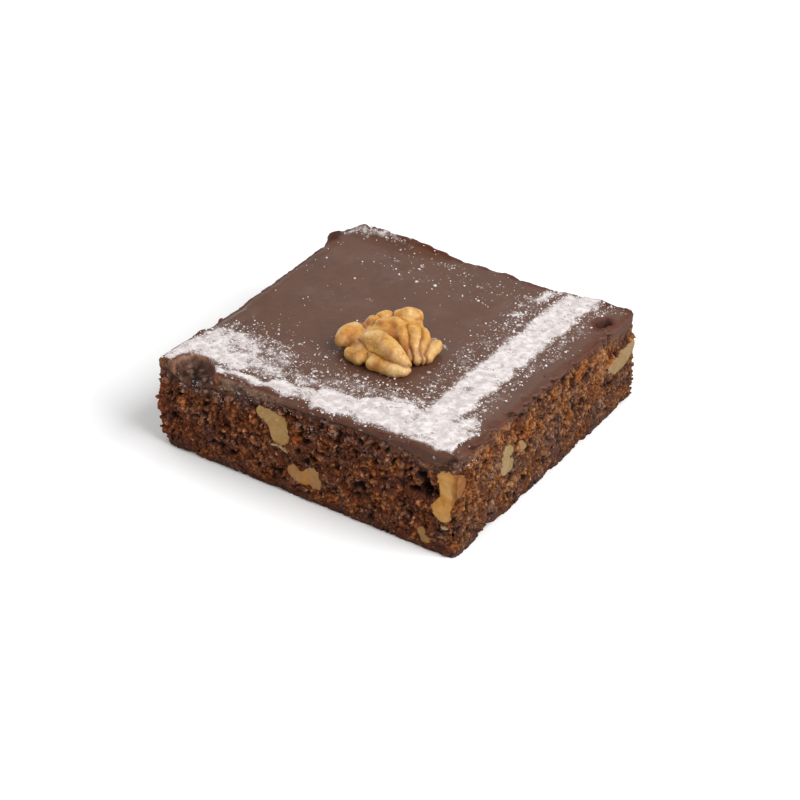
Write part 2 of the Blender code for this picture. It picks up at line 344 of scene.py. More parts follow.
def make_piece(name, points, faces, tone=None, unfolded=None, smooth=True, levels=None):
    """A mesh piece from points in millimetres, each with a tone, levels and a place on the unfolded map."""
    mesh = bpy.data.meshes.new(name)
    mesh.from_pydata((points * MM).tolist(), [], faces.tolist() if hasattr(faces, "tolist") else faces)
    mesh.validate()
    if tone is not None:
        rgba = np.concatenate([tone, np.ones((len(tone), 1))], 1).astype(np.float32)
        mesh.color_attributes.new("tone", "FLOAT_COLOR", "POINT").data.foreach_set("color", rgba.ravel())
    for level, values in (levels or {}).items():
        attribute = mesh.attributes.new(level, "FLOAT", "POINT")
        attribute.data.foreach_set("value", values.astype(np.float32))
    if unfolded is not None:
        low, high = unfolded.min(0), unfolded.max(0)
        placed = 0.01 + 0.98 * (unfolded - low) / (high - low).max()
        corners = np.zeros(len(mesh.loops), np.int32)
        mesh.loops.foreach_get("vertex_index", corners)
        layer = mesh.uv_layers.new(name="OFBake")
        layer.data.foreach_set("uv", placed[corners].astype(np.float32).ravel())
    if smooth:
        mesh.shade_smooth()
    piece = bpy.data.objects.new(name, mesh)
    bpy.context.scene.collection.objects.link(piece)
    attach(piece, "root")
    return piece


def strips(rows, columns):
    """Quads that join rows of points."""
    index = np.arange(rows * columns).reshape(rows, columns)
    a, b, c, d = index[:-1, :-1], index[:-1, 1:], index[1:, 1:], index[1:, :-1]
    return np.stack([a, b, c, d], -1).reshape(-1, 4)


def twenty_faces():
    """The corners and the triangles of an icosahedron of radius 1."""
    golden = (1 + 5**0.5) / 2
    corners = []
    for a, b in itertools.product((-1, 1), (-golden, golden)):
        corners += [(0, a, b), (a, b, 0), (b, 0, a)]
    corners = np.array(corners) / math.hypot(1, golden)
    near = 2 / math.hypot(1, golden) + 0.01
    triangles = []
    for trio in itertools.combinations(range(12), 3):
        a, b, c = corners[list(trio)]
        if max(np.linalg.norm(a - b), np.linalg.norm(b - c), np.linalg.norm(a - c)) < near:
            triangles.append(trio if np.dot(np.cross(b - a, c - a), a) > 0 else trio[::-1])
    return corners, np.array(triangles)


def pebbles(centres, radii, rng, flat=1.0):
    """Small uneven lumps of twenty faces each."""
    corners, triangles = twenty_faces()
    count = len(centres)
    axes = np.linalg.qr(rng.normal(size=(count, 3, 3)))[0]
    axes[np.linalg.det(axes) < 0, :, 0] *= -1
    lumps = corners[None] * (1 + rng.uniform(-0.22, 0.22, (count, 12, 1)))
    lumps = lumps * rng.uniform(0.65, 1.25, (count, 1, 3))
    lumps = np.einsum("nij,nkj->nki", axes, lumps) * radii[:, None, None]
    lumps[..., 2] *= flat
    points = (lumps + centres[:, None]).reshape(-1, 3)
    faces = (triangles[None] + 12 * np.arange(count)[:, None, None]).reshape(-1, 3)
    return points, faces


# ---------------------------------------------------------------- materials


class Shader:
    """A material's node tree, with short calls for the nodes used here."""

    def __init__(self, name, roughness=0.5, specular=0.5):
        self.material = bpy.data.materials.new(name)
        self.material.use_nodes = True
        self.nodes, self.links = self.material.node_tree.nodes, self.material.node_tree.links
        self.surface = self.nodes["Principled BSDF"]
        self.surface.inputs["Roughness"].default_value = roughness
        self.surface.inputs["Specular IOR Level"].default_value = specular
        self.place = self.nodes.new("ShaderNodeTexCoord").outputs["Object"]

    def set(self, socket, value):
        """Link another node's output to the socket, or give it a fixed value."""
        if isinstance(value, bpy.types.NodeSocket):
            self.links.new(value, socket)
        else:
            socket.default_value = value

    def tone(self):
        """The colour that the mesh gives each point."""
        node = self.nodes.new("ShaderNodeVertexColor")
        node.layer_name = "tone"
        return node.outputs["Color"]

    def level(self, name):
        """A number that the mesh gives each point."""
        node = self.nodes.new("ShaderNodeAttribute")
        node.attribute_name = name
        return node.outputs["Fac"]

    def noise(self, size, detail=2.0, roughness=0.5):
        """Noise whose features are this many millimetres across."""
        node = self.nodes.new("ShaderNodeTexNoise")
        node.inputs["Scale"].default_value = 1000 / size
        node.inputs["Detail"].default_value = detail
        node.inputs["Roughness"].default_value = roughness
        self.links.new(self.place, node.inputs["Vector"])
        return node.outputs["Fac"]

    def wobble(self, size, detail, roughness, strength):
        """Noise about zero."""
        centred = self.math("SUBTRACT", self.noise(size, detail, roughness), 0.5)
        return self.math("MULTIPLY", centred, strength)

    def specks(self, size):
        """Distance to scattered specks this many millimetres apart, and a random colour for each."""
        node = self.nodes.new("ShaderNodeTexVoronoi")
        node.inputs["Scale"].default_value = 1000 / size
        self.links.new(self.place, node.inputs["Vector"])
        return node.outputs["Distance"], node.outputs["Color"]

    def specks_of(self, dust, size, share):
        """A mask of soft specks this many millimetres apart, each there by chance as dust and share say."""
        distance, chance = self.specks(size)
        split = self.nodes.new("ShaderNodeSeparateColor")
        self.links.new(chance, split.inputs["Color"])
        wobble = self.wobble(0.55 * size, 3, 0.65, 1.1)
        reach = self.math("ADD", self.math("MULTIPLY", split.outputs["Green"], 0.28), 0.12)
        near = self.ramp(self.math("SUBTRACT", self.math("ADD", distance, wobble), reach), 0.13, -0.11)
        odds = self.math("MULTIPLY", dust, share)
        here = self.ramp(self.math("SUBTRACT", odds, split.outputs["Red"]), -0.02, 0.08)
        strength = self.ramp(split.outputs["Blue"], 0, 1, 0.30, 0.90, smooth=False)
        return self.math("MULTIPLY", self.math("MULTIPLY", near, here), strength)

    def math(self, operation, *values):
        node = self.nodes.new("ShaderNodeMath")
        node.operation = operation
        for socket, value in zip(node.inputs, values):
            self.set(socket, value)
        return node.outputs["Value"]

    def ramp(self, value, low, high, to_low=0.0, to_high=1.0, smooth=True):
        """The value carried from one range to another, and held at its ends."""
        node = self.nodes.new("ShaderNodeMapRange")
        node.interpolation_type = "SMOOTHSTEP" if smooth else "LINEAR"
        node.inputs["From Min"].default_value = low
        node.inputs["From Max"].default_value = high
        node.inputs["To Min"].default_value = to_low
        node.inputs["To Max"].default_value = to_high
        self.links.new(value, node.inputs["Value"])
        return node.outputs["Result"]

    def blend(self, share, value_a, value_b):
        """Number a where share is 0 and number b where it is 1."""
        node = self.nodes.new("ShaderNodeMix")
        self.set(node.inputs["Factor"], share)
        self.set(node.inputs["A"], value_a)
        self.set(node.inputs["B"], value_b)
        return node.outputs["Result"]

    def mix(self, share, colour_a, colour_b):
        """Colour a where share is 0 and colour b where it is 1."""
        node = self.nodes.new("ShaderNodeMix")
        node.data_type = "RGBA"
        self.set(node.inputs["Factor"], share)
        for name, colour in (("A", colour_a), ("B", colour_b)):
            socket = [s for s in node.inputs if s.name == name and s.type == "RGBA"][0]
            self.set(socket, (*colour, 1) if isinstance(colour, tuple) else colour)
        return [s for s in node.outputs if s.type == "RGBA"][0]

    def scaled(self, colour, factor):
        node = self.nodes.new("ShaderNodeVectorMath")
        node.operation = "SCALE"
        self.links.new(colour, node.inputs[0])
        self.set(node.inputs["Scale"], factor)
        return node.outputs["Vector"]

    def bump(self, height, distance):
        """Relief on top of what bumps there are already, this many millimetres high."""
        node = self.nodes.new("ShaderNodeBump")
        node.inputs["Distance"].default_value = distance * MM
        self.links.new(height, node.inputs["Height"])
        normal = self.surface.inputs["Normal"]
        if normal.is_linked:
            self.links.new(normal.links[0].from_socket, node.inputs["Normal"])
        self.links.new(node.outputs["Normal"], normal)

    def glow(self, weight, radius, scale):
        """Light that spreads under the surface."""
        self.surface.inputs["Subsurface Weight"].default_value = weight
        self.surface.inputs["Subsurface Radius"].default_value = radius
        self.surface.inputs["Subsurface Scale"].default_value = scale * MM


def crumb_material():
    known = bpy.data.materials.get("brownie crumb")
    if known:
        return known
    shader = Shader("brownie crumb", roughness=0.8, specular=0.06)
    grain = shader.ramp(shader.noise(0.34, 5, 0.7), 0.30, 0.70, 0.52, 1.50, smooth=False)
    shader.set(shader.surface.inputs["Base Color"], shader.scaled(shader.tone(), grain))
    shader.bump(shader.noise(0.42, 3, 0.6), 0.20)
    shader.bump(shader.noise(0.16, 2, 0.6), 0.08)
    return shader.material


def walnut_material(name, roughness, specular, grain_strength):
    shader = Shader(name, roughness, specular)
    low, high = 1 - grain_strength, 1 + grain_strength
    grain = shader.ramp(shader.noise(0.8, 4, 0.6), 0.3, 0.7, low, high, smooth=False)
    shader.set(shader.surface.inputs["Base Color"], shader.scaled(shader.tone(), grain))
    shader.glow(0.40, (1.0, 0.55, 0.28), 1.5)
    shader.bump(shader.noise(0.8, 3, 0.6), 0.09)
    shader.bump(shader.noise(0.25, 2, 0.5), 0.02)
    return shader.material


SUGAR_WHITE = (0.71, 0.66, 0.65)
# Grey mottling of the sugar: painted shade of its heaped relief
SUGAR_SHADE = (0.475, 0.42, 0.405)


def icing_material():
    """Satin icing, and the sugar that lies on it as the piece's level of dust says."""
    shader = Shader("chocolate icing", specular=0.18)
    dust = shader.level("dust")
    # Where it lies thick the sugar joins up. Elsewhere it is in specks, of three sizes, over a thin haze.
    cloud = shader.wobble(2.0, 4, 0.62, 1.3)
    ragged = shader.wobble(0.6, 3, 0.6, 0.8)
    drifted = shader.math("ADD", dust, cloud)
    thick = shader.ramp(shader.math("ADD", drifted, ragged), 0.56, 1.0)
    haze = shader.ramp(drifted, 0.30, 1.0, 0.0, 0.42)
    small = shader.specks_of(dust, 0.60, 1.15)
    large = shader.specks_of(dust, 1.25, 0.90)
    flakes = shader.specks_of(dust, 2.1, 0.48)
    specks = shader.math("MAXIMUM", flakes, shader.math("MAXIMUM", small, large))
    sugar = shader.math("MAXIMUM", haze, shader.math("MAXIMUM", thick, specks))
    # The sugar mottled with painted shade.
    mottled = shader.ramp(shader.noise(1.8, 5, 0.66), 0.35, 0.66)
    white = shader.mix(mottled, SUGAR_SHADE, SUGAR_WHITE)
    uneven = shader.ramp(shader.noise(1.6, 3, 0.6), 0.3, 0.7, 0.93, 1.07, smooth=False)
    grainy = shader.level("grainy")
    grain = shader.ramp(shader.noise(0.50, 5, 0.7), 0.32, 0.68, 0.35, 1.70, smooth=False)
    brown = shader.scaled(shader.tone(), shader.blend(grainy, uneven, grain))
    shader.set(shader.surface.inputs["Base Color"], shader.mix(sugar, brown, white))
    dull = shader.math("MAXIMUM", sugar, shader.level("dull"))
    shader.set(shader.surface.inputs["Roughness"], shader.ramp(dull, 0, 1, 0.34, 0.85, smooth=False))
    shader.bump(shader.noise(1.8, 3, 0.6), 0.03)
    shader.bump(sugar, 0.10)
    shader.bump(shader.noise(0.35, 3, 0.6), 0.02)
    shader.bump(shader.math("MULTIPLY", grainy, shader.noise(0.7, 4, 0.7)), 0.35)
    return shader.material


def sugar_material():
    shader = Shader("powdered sugar", roughness=0.85, specular=0.2)
    # The grains mottled with painted shade.
    mottled = shader.ramp(shader.noise(0.5, 3, 0.6), 0.3, 0.6)
    shader.set(shader.surface.inputs["Base Color"], shader.mix(mottled, SUGAR_SHADE, SUGAR_WHITE))
    shader.bump(shader.noise(0.2, 2, 0.5), 0.05)
    return shader.material


# ---------------------------------------------------------------- walnut

# The ridges of the walnut half, as chains of round sections: x, y, height over the icing and radius.
WALNUT_RIDGES = (
    ((-6.6, -11.9, 2.5, 2.0), (-6.6, -10.0, 3.0, 2.3), (-6.2, -8.2, 3.3, 2.0)),
    ((-2.4, -15.0, 1.6, 1.6), (0.1, -15.5, 1.6, 1.7), (-0.3, -13.6, 2.4, 1.6)),
    (
        (1.0, -11.7, 4.8, 2.1), (3.0, -11.8, 5.2, 2.3), (6.0, -12.9, 4.9, 2.4),
        (8.5, -13.7, 4.2, 2.2), (10.1, -13.6, 3.0, 1.8), (11.2, -13.2, 2.0, 1.1),
    ),
    (
        (4.1, -16.1, 1.6, 1.6), (5.8, -16.0, 1.6, 1.5), (7.6, -15.9, 1.6, 1.7), (9.3, -15.7, 1.5, 1.7),
        (10.9, -14.9, 1.4, 1.5), (11.3, -13.8, 1.4, 1.2),
    ),
    ((-0.2, 0.1, 4.2, 1.5), (0.7, 0.7, 4.6, 1.9), (2.0, 1.6, 4.8, 2.1), (3.3, 2.3, 4.4, 2.0)),
    ((-2.5, -0.9, 4.4, 1.6), (-2.8, -2.4, 4.4, 1.4)),
    ((-4.1, -5.0, 3.8, 1.4), (-3.2, -4.5, 4.6, 1.7)),
    (
        (-0.7, -5.6, 5.2, 1.4), (0.6, -4.4, 5.4, 1.4), (2.2, -3.8, 5.6, 1.5), (4.3, -5.0, 5.2, 1.4),
        (5.7, -6.8, 4.4, 1.4), (7.0, -7.7, 3.4, 1.4), (8.7, -8.8, 2.4, 1.4), (10.0, -9.5, 1.5, 1.2),
    ),
    (
        (6.0, -3.8, 4.7, 1.3), (6.9, -3.5, 4.4, 1.5), (8.3, -5.6, 3.8, 1.6), (9.3, -7.4, 3.0, 1.6),
        (10.5, -8.6, 2.0, 1.6), (11.3, -9.3, 1.5, 1.4),
    ),
    (
        (8.0, -1.7, 3.6, 1.4), (9.3, -3.1, 3.1, 1.4), (10.4, -5.7, 2.6, 1.5), (11.1, -7.3, 2.0, 1.5),
        (12.0, -8.4, 1.5, 1.4),
    ),
    ((11.9, -2.5, 1.9, 1.6), (11.9, -4.6, 1.7, 1.7), (12.7, -7.4, 1.5, 1.5)),
)

# What joins the ridges underneath.
WALNUT_CORES = (
    ((-4.0, -10.6, 1.8, 2.4), (0.5, -12.2, 2.2, 2.8), (5.0, -13.4, 2.2, 2.8), (8.6, -14.2, 1.6, 2.0)),
    ((-3.0, -3.4, 2.2, 2.4), (1.6, -0.6, 2.6, 2.9), (5.6, -2.6, 2.4, 2.6), (9.6, -5.2, 1.4, 2.0)),
    ((0.6, 0.8, 2.2, 2.4), (3.4, 1.4, 2.3, 2.3), (8.0, -2.2, 1.4, 1.8)),
    ((-3.6, -9.6, 2.0, 2.3), (-3.0, -5.6, 2.2, 2.3)),
    ((-1.4, -7.6, 2.8, 2.4), (1.8, -6.6, 3.6, 2.2), (3.4, -6.4, 3.5, 2.0)),
    ((5.0, -5.2, 2.6, 2.2), (8.6, -6.4, 1.4, 1.9)),
)

KERNEL_GOLD = (0.520, 0.275, 0.056)
KERNEL_PALE = (0.64, 0.430, 0.172)
KERNEL_AMBER = (0.410, 0.158, 0.020)
KERNEL_CREASE_SHADE = (0.23, 0.075, 0.014)
KERNEL_RUST = (0.33, 0.100, 0.018)
KERNEL_HIGHLIGHT_PALE = (0.67, 0.475, 0.225)
KERNEL_DUSTY = (0.60, 0.44, 0.26)

# Where its skin is rusty, and pale spots on its crests that are scraped skin and painted highlight together:
# x, y, z and radius.
RUSTY = (
    (-4.2, -6.3, 27.5, 1.3), (3.1, -7.3, 28.5, 1.5), (5.7, -8.2, 28.0, 1.5), (9.0, -9.6, 26.9, 1.3),
    (7.8, -15.6, 28.5, 1.3), (9.4, -8.7, 27.5, 1.0), (0.0, -6.5, 29.1, 1.0), (-4.5, -12.8, 26.1, 1.4),
    (11.9, -8.5, 26.2, 1.0), (-0.9, -16.2, 26.2, 1.2), (5.4, -17.4, 25.6, 1.2),
)
HIGHLIT_SPOTS = (
    (0.5, -12.5, 29.9, 1.2), (2.2, -11.7, 30.7, 1.3), (5.8, -14.9, 29.6, 1.4), (10.1, -16.8, 25.9, 1.5),
    (11.9, -15.4, 25.9, 1.4), (-6.1, -13.6, 25.8, 1.2), (4.1, -17.0, 26.3, 1.1), (3.0, 1.0, 29.2, 1.6),
    (8.9, -5.7, 28.5, 1.1), (10.3, -7.4, 27.6, 1.1), (13.0, -5.1, 26.3, 1.4), (-5.7, -8.0, 27.9, 1.3),
)
WALNUT_VOXEL = 0.21
FILLED = 0.45  # gaps up to twice this are closed between the ridges


def chain_of_balls(name, chains, grow):
    """A mesh of balls set close along each chain."""
    bm = bmesh.new()
    for chain in chains:
        for start, end in zip(chain, chain[1:]):
            first, last = Vector(start), Vector(end)
            steps = max(2, math.ceil((last - first).xyz.length / (0.12 * first.w)))
            for i in range(steps + 1):
                section = first.lerp(last, i / steps)
                ball = Matrix.Translation(section.xyz)
                bmesh.ops.create_icosphere(bm, subdivisions=3, radius=section.w + grow, matrix=ball)
    mesh = bpy.data.meshes.new(name)
    bm.to_mesh(mesh)
    bm.free()
    return mesh


def fused(name, chains, voxel, filled=0.0):
    """Chains of balls fused by a voxel grid, as points, normals, faces and edges in millimetres.

    The balls are swollen before and the skin shrunk after, so that narrow gaps between them are filled.
    """
    body = bpy.data.objects.new(name, chain_of_balls(name, chains, filled))
    bpy.context.scene.collection.objects.link(body)
    remesh = body.modifiers.new("fuse", "REMESH")
    remesh.mode = "VOXEL"
    remesh.voxel_size = voxel
    soften = body.modifiers.new("soften", "SMOOTH")
    soften.factor = 0.5
    soften.iterations = 6 if filled else 2
    evaluated = body.evaluated_get(bpy.context.evaluated_depsgraph_get()).to_mesh()
    points = np.zeros(len(evaluated.vertices) * 3)
    evaluated.vertices.foreach_get("co", points)
    normals = np.zeros(len(evaluated.vertices) * 3)
    evaluated.vertices.foreach_get("normal", normals)
    faces = [tuple(face.vertices) for face in evaluated.polygons]
    edges = np.zeros(len(evaluated.edges) * 2, np.int32)
    evaluated.edges.foreach_get("vertices", edges)
    body.to_mesh_clear()
    bpy.data.objects.remove(body)
    points, normals, edges = points.reshape(-1, 3), normals.reshape(-1, 3), edges.reshape(-1, 2)
    if filled:
        points = spread_out(points - filled * normals, edges, 3)
    return points, normals, faces, edges


def spread_out(values, edges, rounds):
    """Values at a mesh's points averaged with their neighbours', over and over."""
    count = np.bincount(edges.ravel(), minlength=len(values)).clip(1)
    count = count.reshape((-1,) + (1,) * (values.ndim - 1))
    for _ in range(rounds):
        total = np.zeros_like(values)
        np.add.at(total, edges[:, 0], values[edges[:, 1]])
        np.add.at(total, edges[:, 1], values[edges[:, 0]])
        values = 0.5 * values + 0.5 * total / count
    return values


def chain_distance(points, chain):
    """How far outside a chain's skin each point is."""
    nearest = np.full(len(points), 1e9)
    chain = np.array(chain)
    for start, end in zip(chain, chain[1:]):
        along = end[:3] - start[:3]
        share = np.clip(((points - start[:3]) @ along) / (along @ along), 0, 1)
        centre = start[:3] + share[:, None] * along
        radius = start[3] + share * (end[3] - start[3])
        nearest = np.minimum(nearest, np.linalg.norm(points - centre, axis=1) - radius)
    return nearest


def on_icing(chain):
    """A ridge's sections with their height over the table."""
    x, y, height, radius = np.array(chain).T
    return np.stack([x, y, top_height(x, y) + height, radius], -1).tolist()


def hollowness(points, normals, edges, rounds):
    """How far each point lies below its surroundings, which are wider the more rounds there are."""
    return ((spread_out(points, edges, rounds) - points) * normals).sum(-1)


def make_walnut():
    """The walnut half: ridges with creases between them, facets and veins."""
    ridges = [on_icing(chain) for chain in WALNUT_RIDGES]
    cores = [on_icing(chain) for chain in WALNUT_CORES]
    points, normals, faces, edges = fused("walnut", ridges + cores, WALNUT_VOXEL, FILLED)
    bent = wander(points, 2.2, 0.30, 17)
    nearest, second = np.sort([chain_distance(bent, ridge) for ridge in ridges], axis=0)[:2]
    between = bell(second - nearest, 0, 0.24) * smoothstep(1.9, 0.6, second)
    flanks = bell(second - nearest, 0, 0.85) * smoothstep(2.3, 0.8, second)
    broad = hollowness(points, normals, edges, 60)
    veins = smoothstep(0.09, 0.0, abs(swells(wander(points, 3.0, 0.9, 18), 3.0, 19)))
    veins = veins * smoothstep(-0.2, 0.4, swells(points, 5.0, 20))
    facets = 0.20 * swells(points, 2.8, 21) + 0.10 * swells(points, 1.3, 22) + 0.035 * swells(points, 0.6, 23)
    points = points + normals * (facets - 0.36 * between - 0.08 * veins)[:, None]
    hollow = hollowness(points, normals, edges, 14)
    tone = walnut_tone(points, bent, broad, hollow, between, flanks, veins)
    piece = make_piece("walnut_kernel", points, faces, tone)
    piece.data.materials.append(walnut_material("walnut skin", 0.40, 0.35, 0.17))
    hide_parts("walnut_half")


def walnut_tone(points, bent, broad, hollow, between, flanks, veins):
    """The skin's colour, with painted light and shade: pale on the crests as painted light, amber down the
    flanks and dark in the creases as painted shade.
    """
    crevice = np.clip(smoothstep(0.02, 0.22, hollow) + 0.8 * between, 0, 1)
    crest = smoothstep(0.05, -0.45, broad) * (1 - crevice)
    patches = 0.5 + 0.5 * rough(points, 3.4, 31)
    fibres = 0.5 + 0.5 * rough(points * (1, 1, 2.0), 1.2, 35)
    # Paler on the crests: painted light.
    tone = mixed(KERNEL_GOLD, KERNEL_PALE, 1.2 * crest * (0.2 + 0.9 * patches) + 0.35 * fibres - 0.10)
    tone = mixed(tone, KERNEL_AMBER, 0.70 * smoothstep(0.50, 0.85, 1 - patches) + 0.25 * (1 - crest) * fibres)
    # Amber down the flanks between ridges: painted shade.
    tone = mixed(tone, KERNEL_AMBER, 0.45 * flanks * (0.6 + 0.8 * fibres))
    # Rusty skin at listed spots, and pale crest spots of scraped skin with a painted highlight.
    for spots, colour, strength in ((RUSTY, KERNEL_RUST, 0.85), (HIGHLIT_SPOTS, KERNEL_HIGHLIGHT_PALE, 0.50)):
        for *place, radius in spots:
            away = np.linalg.norm(bent - place, axis=1) / radius
            tone = mixed(tone, colour, strength * bell(away, 0, 1) * (0.6 + 0.7 * fibres))
    # Painted shade: amber and dark in the creases and hollows. The veins are the skin's own colour.
    tone = mixed(tone, KERNEL_AMBER, 0.8 * crevice)
    tone = mixed(tone, KERNEL_CREASE_SHADE, 0.80 * between)
    tone = mixed(tone, KERNEL_AMBER, 0.70 * veins)
    tone = mixed(tone, KERNEL_CREASE_SHADE, 0.7 * smoothstep(0.13, 0.32, hollow))
    dusty = smoothstep(8.5, 12.5, points[:, 0] - 0.25 * points[:, 1] - 1.5) * patches
    return mixed(tone, KERNEL_DUSTY, 0.35 * dusty)


# ---------------------------------------------------------------- walnut in the cake

# Each piece gives its side and its chain of sections: place along the side in x or y, height and radius. A
# section's middle lies this share of its radius in from the cut side.
PIECE_DEPTH = 0.35
PIECES = {
    "walnut_crescent": (FRONT, ((-11.2, 18.2, 1.7), (-9.0, 17.5, 2.4), (-7.1, 16.5, 2.8), (-6.5, 13.9, 2.7))),
    "walnut_pair": (
        FRONT,
        ((-2.6, 6.3, 2.0), (-1.3, 5.7, 2.1), (0.6, 5.4, 1.7), (2.3, 6.7, 2.5), (3.1, 5.4, 2.1)),
    ),
    "walnut_corner": (
        FRONT,
        (
            (38.4, 17.6, 2.9), (36.9, 18.3, 2.7), (37.4, 15.3, 2.1), (36.9, 13.2, 1.9),
            (35.6, 11.0, 2.5), (36.3, 10.1, 2.2),
        ),
    ),
    "walnut_chip": (FRONT, ((31.2, 3.9, 1.3), (32.4, 2.6, 1.5))),
    "walnut_bean": (
        RIGHT,
        ((-16.6, 15.3, 1.8), (-18.1, 15.8, 2.1), (-17.9, 13.8, 1.9), (-18.2, 12.3, 2.2), (-16.5, 11.8, 1.9)),
    ),
    "walnut_sliver": (RIGHT, ((-12.4, 14.6, 1.2), (-10.7, 13.4, 1.3))),
    "walnut_wedge": (RIGHT, ((27.5, 13.7, 2.1), (30.0, 12.9, 2.7), (33.0, 13.2, 2.9), (36.0, 14.3, 2.3))),
    "walnut_rear_bean": (BACK, ((-12.5, 11.6, 2.4), (-9.0, 13.4, 2.6))),
    "walnut_rear_slice": (BACK, ((19.0, 6.6, 2.0), (23.0, 8.0, 2.5))),
    "walnut_side_lobe": (LEFT, ((9.0, 11.0, 2.3), (5.4, 13.0, 2.8))),
    "walnut_side_chip": (LEFT, ((-16.6, 6.2, 1.8), (-20.0, 5.6, 2.1))),
}

PIECE_VOXEL = 0.27

CORNER_SKIN = (0.135, 0.042, 0.009)  # of the piece at the corner, where it turns away
CUT_PALE = (0.340, 0.214, 0.086)  # of a cut face that isn't named below
CUT_TONES = {
    "walnut_pair": (0.325, 0.174, 0.067),
    "walnut_corner": (0.485, 0.262, 0.082),
    "walnut_chip": (0.30, 0.167, 0.063),
    "walnut_bean": (0.241, 0.178, 0.090),
    "walnut_sliver": (0.240, 0.160, 0.072),
    "walnut_wedge": (0.226, 0.152, 0.076),
}

# Amber skin that the knife left on the pieces: side, and a chain of places along it, height and radius.
SKIN_MARKS = (
    (FRONT, ((-0.5, 7.9, 0.5), (0.5, 6.2, 0.35), (0.7, 4.8, 0.5), (-0.1, 3.7, 0.3))),
    (FRONT, ((35.3, 14.9, 0.6), (36.1, 13.4, 0.5), (36.6, 12.2, 0.15))),
    (FRONT, ((38.9, 13.0, 0.4), (39.6, 15.0, 0.9), (40.0, 18.0, 1.6))),
    (FRONT, ((33.4, 3.0, 0.4), (33.6, 1.8, 0.4))),
)


def on_side(side, sections, depth=0.0):
    """Sections on a cut side, or this share of their radius behind it, as x, y, z and radius."""
    return [(*behind_side(side, along, height, depth * radius), radius) for along, height, radius in sections]


def wall_overshoot(points, side):
    """How far points stand out past a cut side, and the way out of it."""
    start, end = (np.stack(corner_at(side + i, points[:, 2]), -1) for i in (0, 1))
    along = (end - start) / np.linalg.norm(end - start, axis=1, keepdims=True)
    out = np.stack([along[:, 1], -along[:, 0]], -1)
    over = ((points[:, :2] - start) * out).sum(-1)
    if side == LEFT:
        over = over + left_bow(-1.0, points[:, 1] / HALF_SIDES[1])
    return over, out


def cut_level(points):
    """Moves points back that stand out past the cut sides, and gives how cut each is, from 0 to 1."""
    cut = np.zeros(len(points))
    recess = 0.10 + 0.10 * swells(points, 2.4, 91)
    for side in range(4):
        over, out = wall_overshoot(points, side)
        over = np.clip(over + recess, 0, None)
        points[:, :2] -= out * over[:, None]
        cut = np.maximum(cut, np.clip(over * 5, 0, 1))
    return cut


def cut_tone(name, points, face, mottled):
    """A cut nut's colour: its own on the cut face, amber where there is skin."""
    patches = 0.5 + mottled * rough(points, 2.6, 95)
    pale = np.array(CUT_TONES.get(name, CUT_PALE))
    tone = mixed(KERNEL_AMBER, pale, 0.3 + 0.7 * face)
    tone = mixed(tone, pale * (0.92, 0.78, 0.50), 0.9 * patches * face)
    tone = tone * (1 + 0.12 * rough(points, 1.1, 96))[:, None]
    for side, sections in SKIN_MARKS:
        away = chain_distance(points, on_side(side, sections))
        tone = mixed(tone, KERNEL_AMBER, 0.75 * smoothstep(0.35, -0.1, away))
    return tone


def make_nut_pieces():
    """The pieces of walnut in the cake, cut off level with its sides."""
    for name, piece in PIECES.items():
        points, normals, faces, edges = fused(name, [on_side(*piece, PIECE_DEPTH)], PIECE_VOXEL)
        face = smoothstep(0.2, 0.9, spread_out(cut_level(points), edges, 2))
        ripple = 0.12 * swells(points, 1.6, 93) * (1 - 0.85 * face) + 0.03 * swells(points, 0.9, 94)
        at_corner = name == "walnut_corner"
        if at_corner:
            ripple += 0.3825 * swells(points, 2.3, 97) * face
        points = points + normals * ripple[:, None]
        tone = cut_tone(name, points, face, 0.9 if at_corner else 0.475)
        if at_corner:
            turned = smoothstep(37.9, 39.7, points[:, 0] + 0.5 * swells(points, 1.5, 98))
            tone = mixed(tone, CORNER_SKIN, 0.85 * turned)
        kernel = make_piece(name + "_kernel", points, faces, tone)
        kernel.data.materials.append(walnut_material(name + " cut", 0.55, 0.15, 0.06))
        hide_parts(name)


# ---------------------------------------------------------------- cake

CRUMB_BROWN = (0.084, 0.029, 0.0140)
CRUMB_RUST = (0.190, 0.070, 0.023)
CRUMB_PALE = (0.270, 0.150, 0.080)
# Painted shade for the crumb's pores, low places and the gaps between its grains
CRUMB_PORE_SHADE = (0.014, 0.006, 0.004)
CRUMB_BASE = (0.048, 0.021, 0.014)
CRUMB_DUSTED = (0.085, 0.052, 0.041)
CRUMB_SUGARED = (0.36, 0.29, 0.25)
SLIVER_PALE = (0.37, 0.26, 0.14)

CRUMB_PITCH = 0.18
LID_GAP = 0.45  # between the icing's surface and the top of a cut side
LEDGE = (0.4, 0.8, 1.2, 1.7, 2.3)  # steps in from the cut sides at their top
SKIRT = 3.0  # how far a cut side turns in under the cake
POCKET_DEPTH = 2.0  # of the crumb behind a piece of walnut
BASE_CELLS = 120
CRUMBS_A_SIDE = 1050

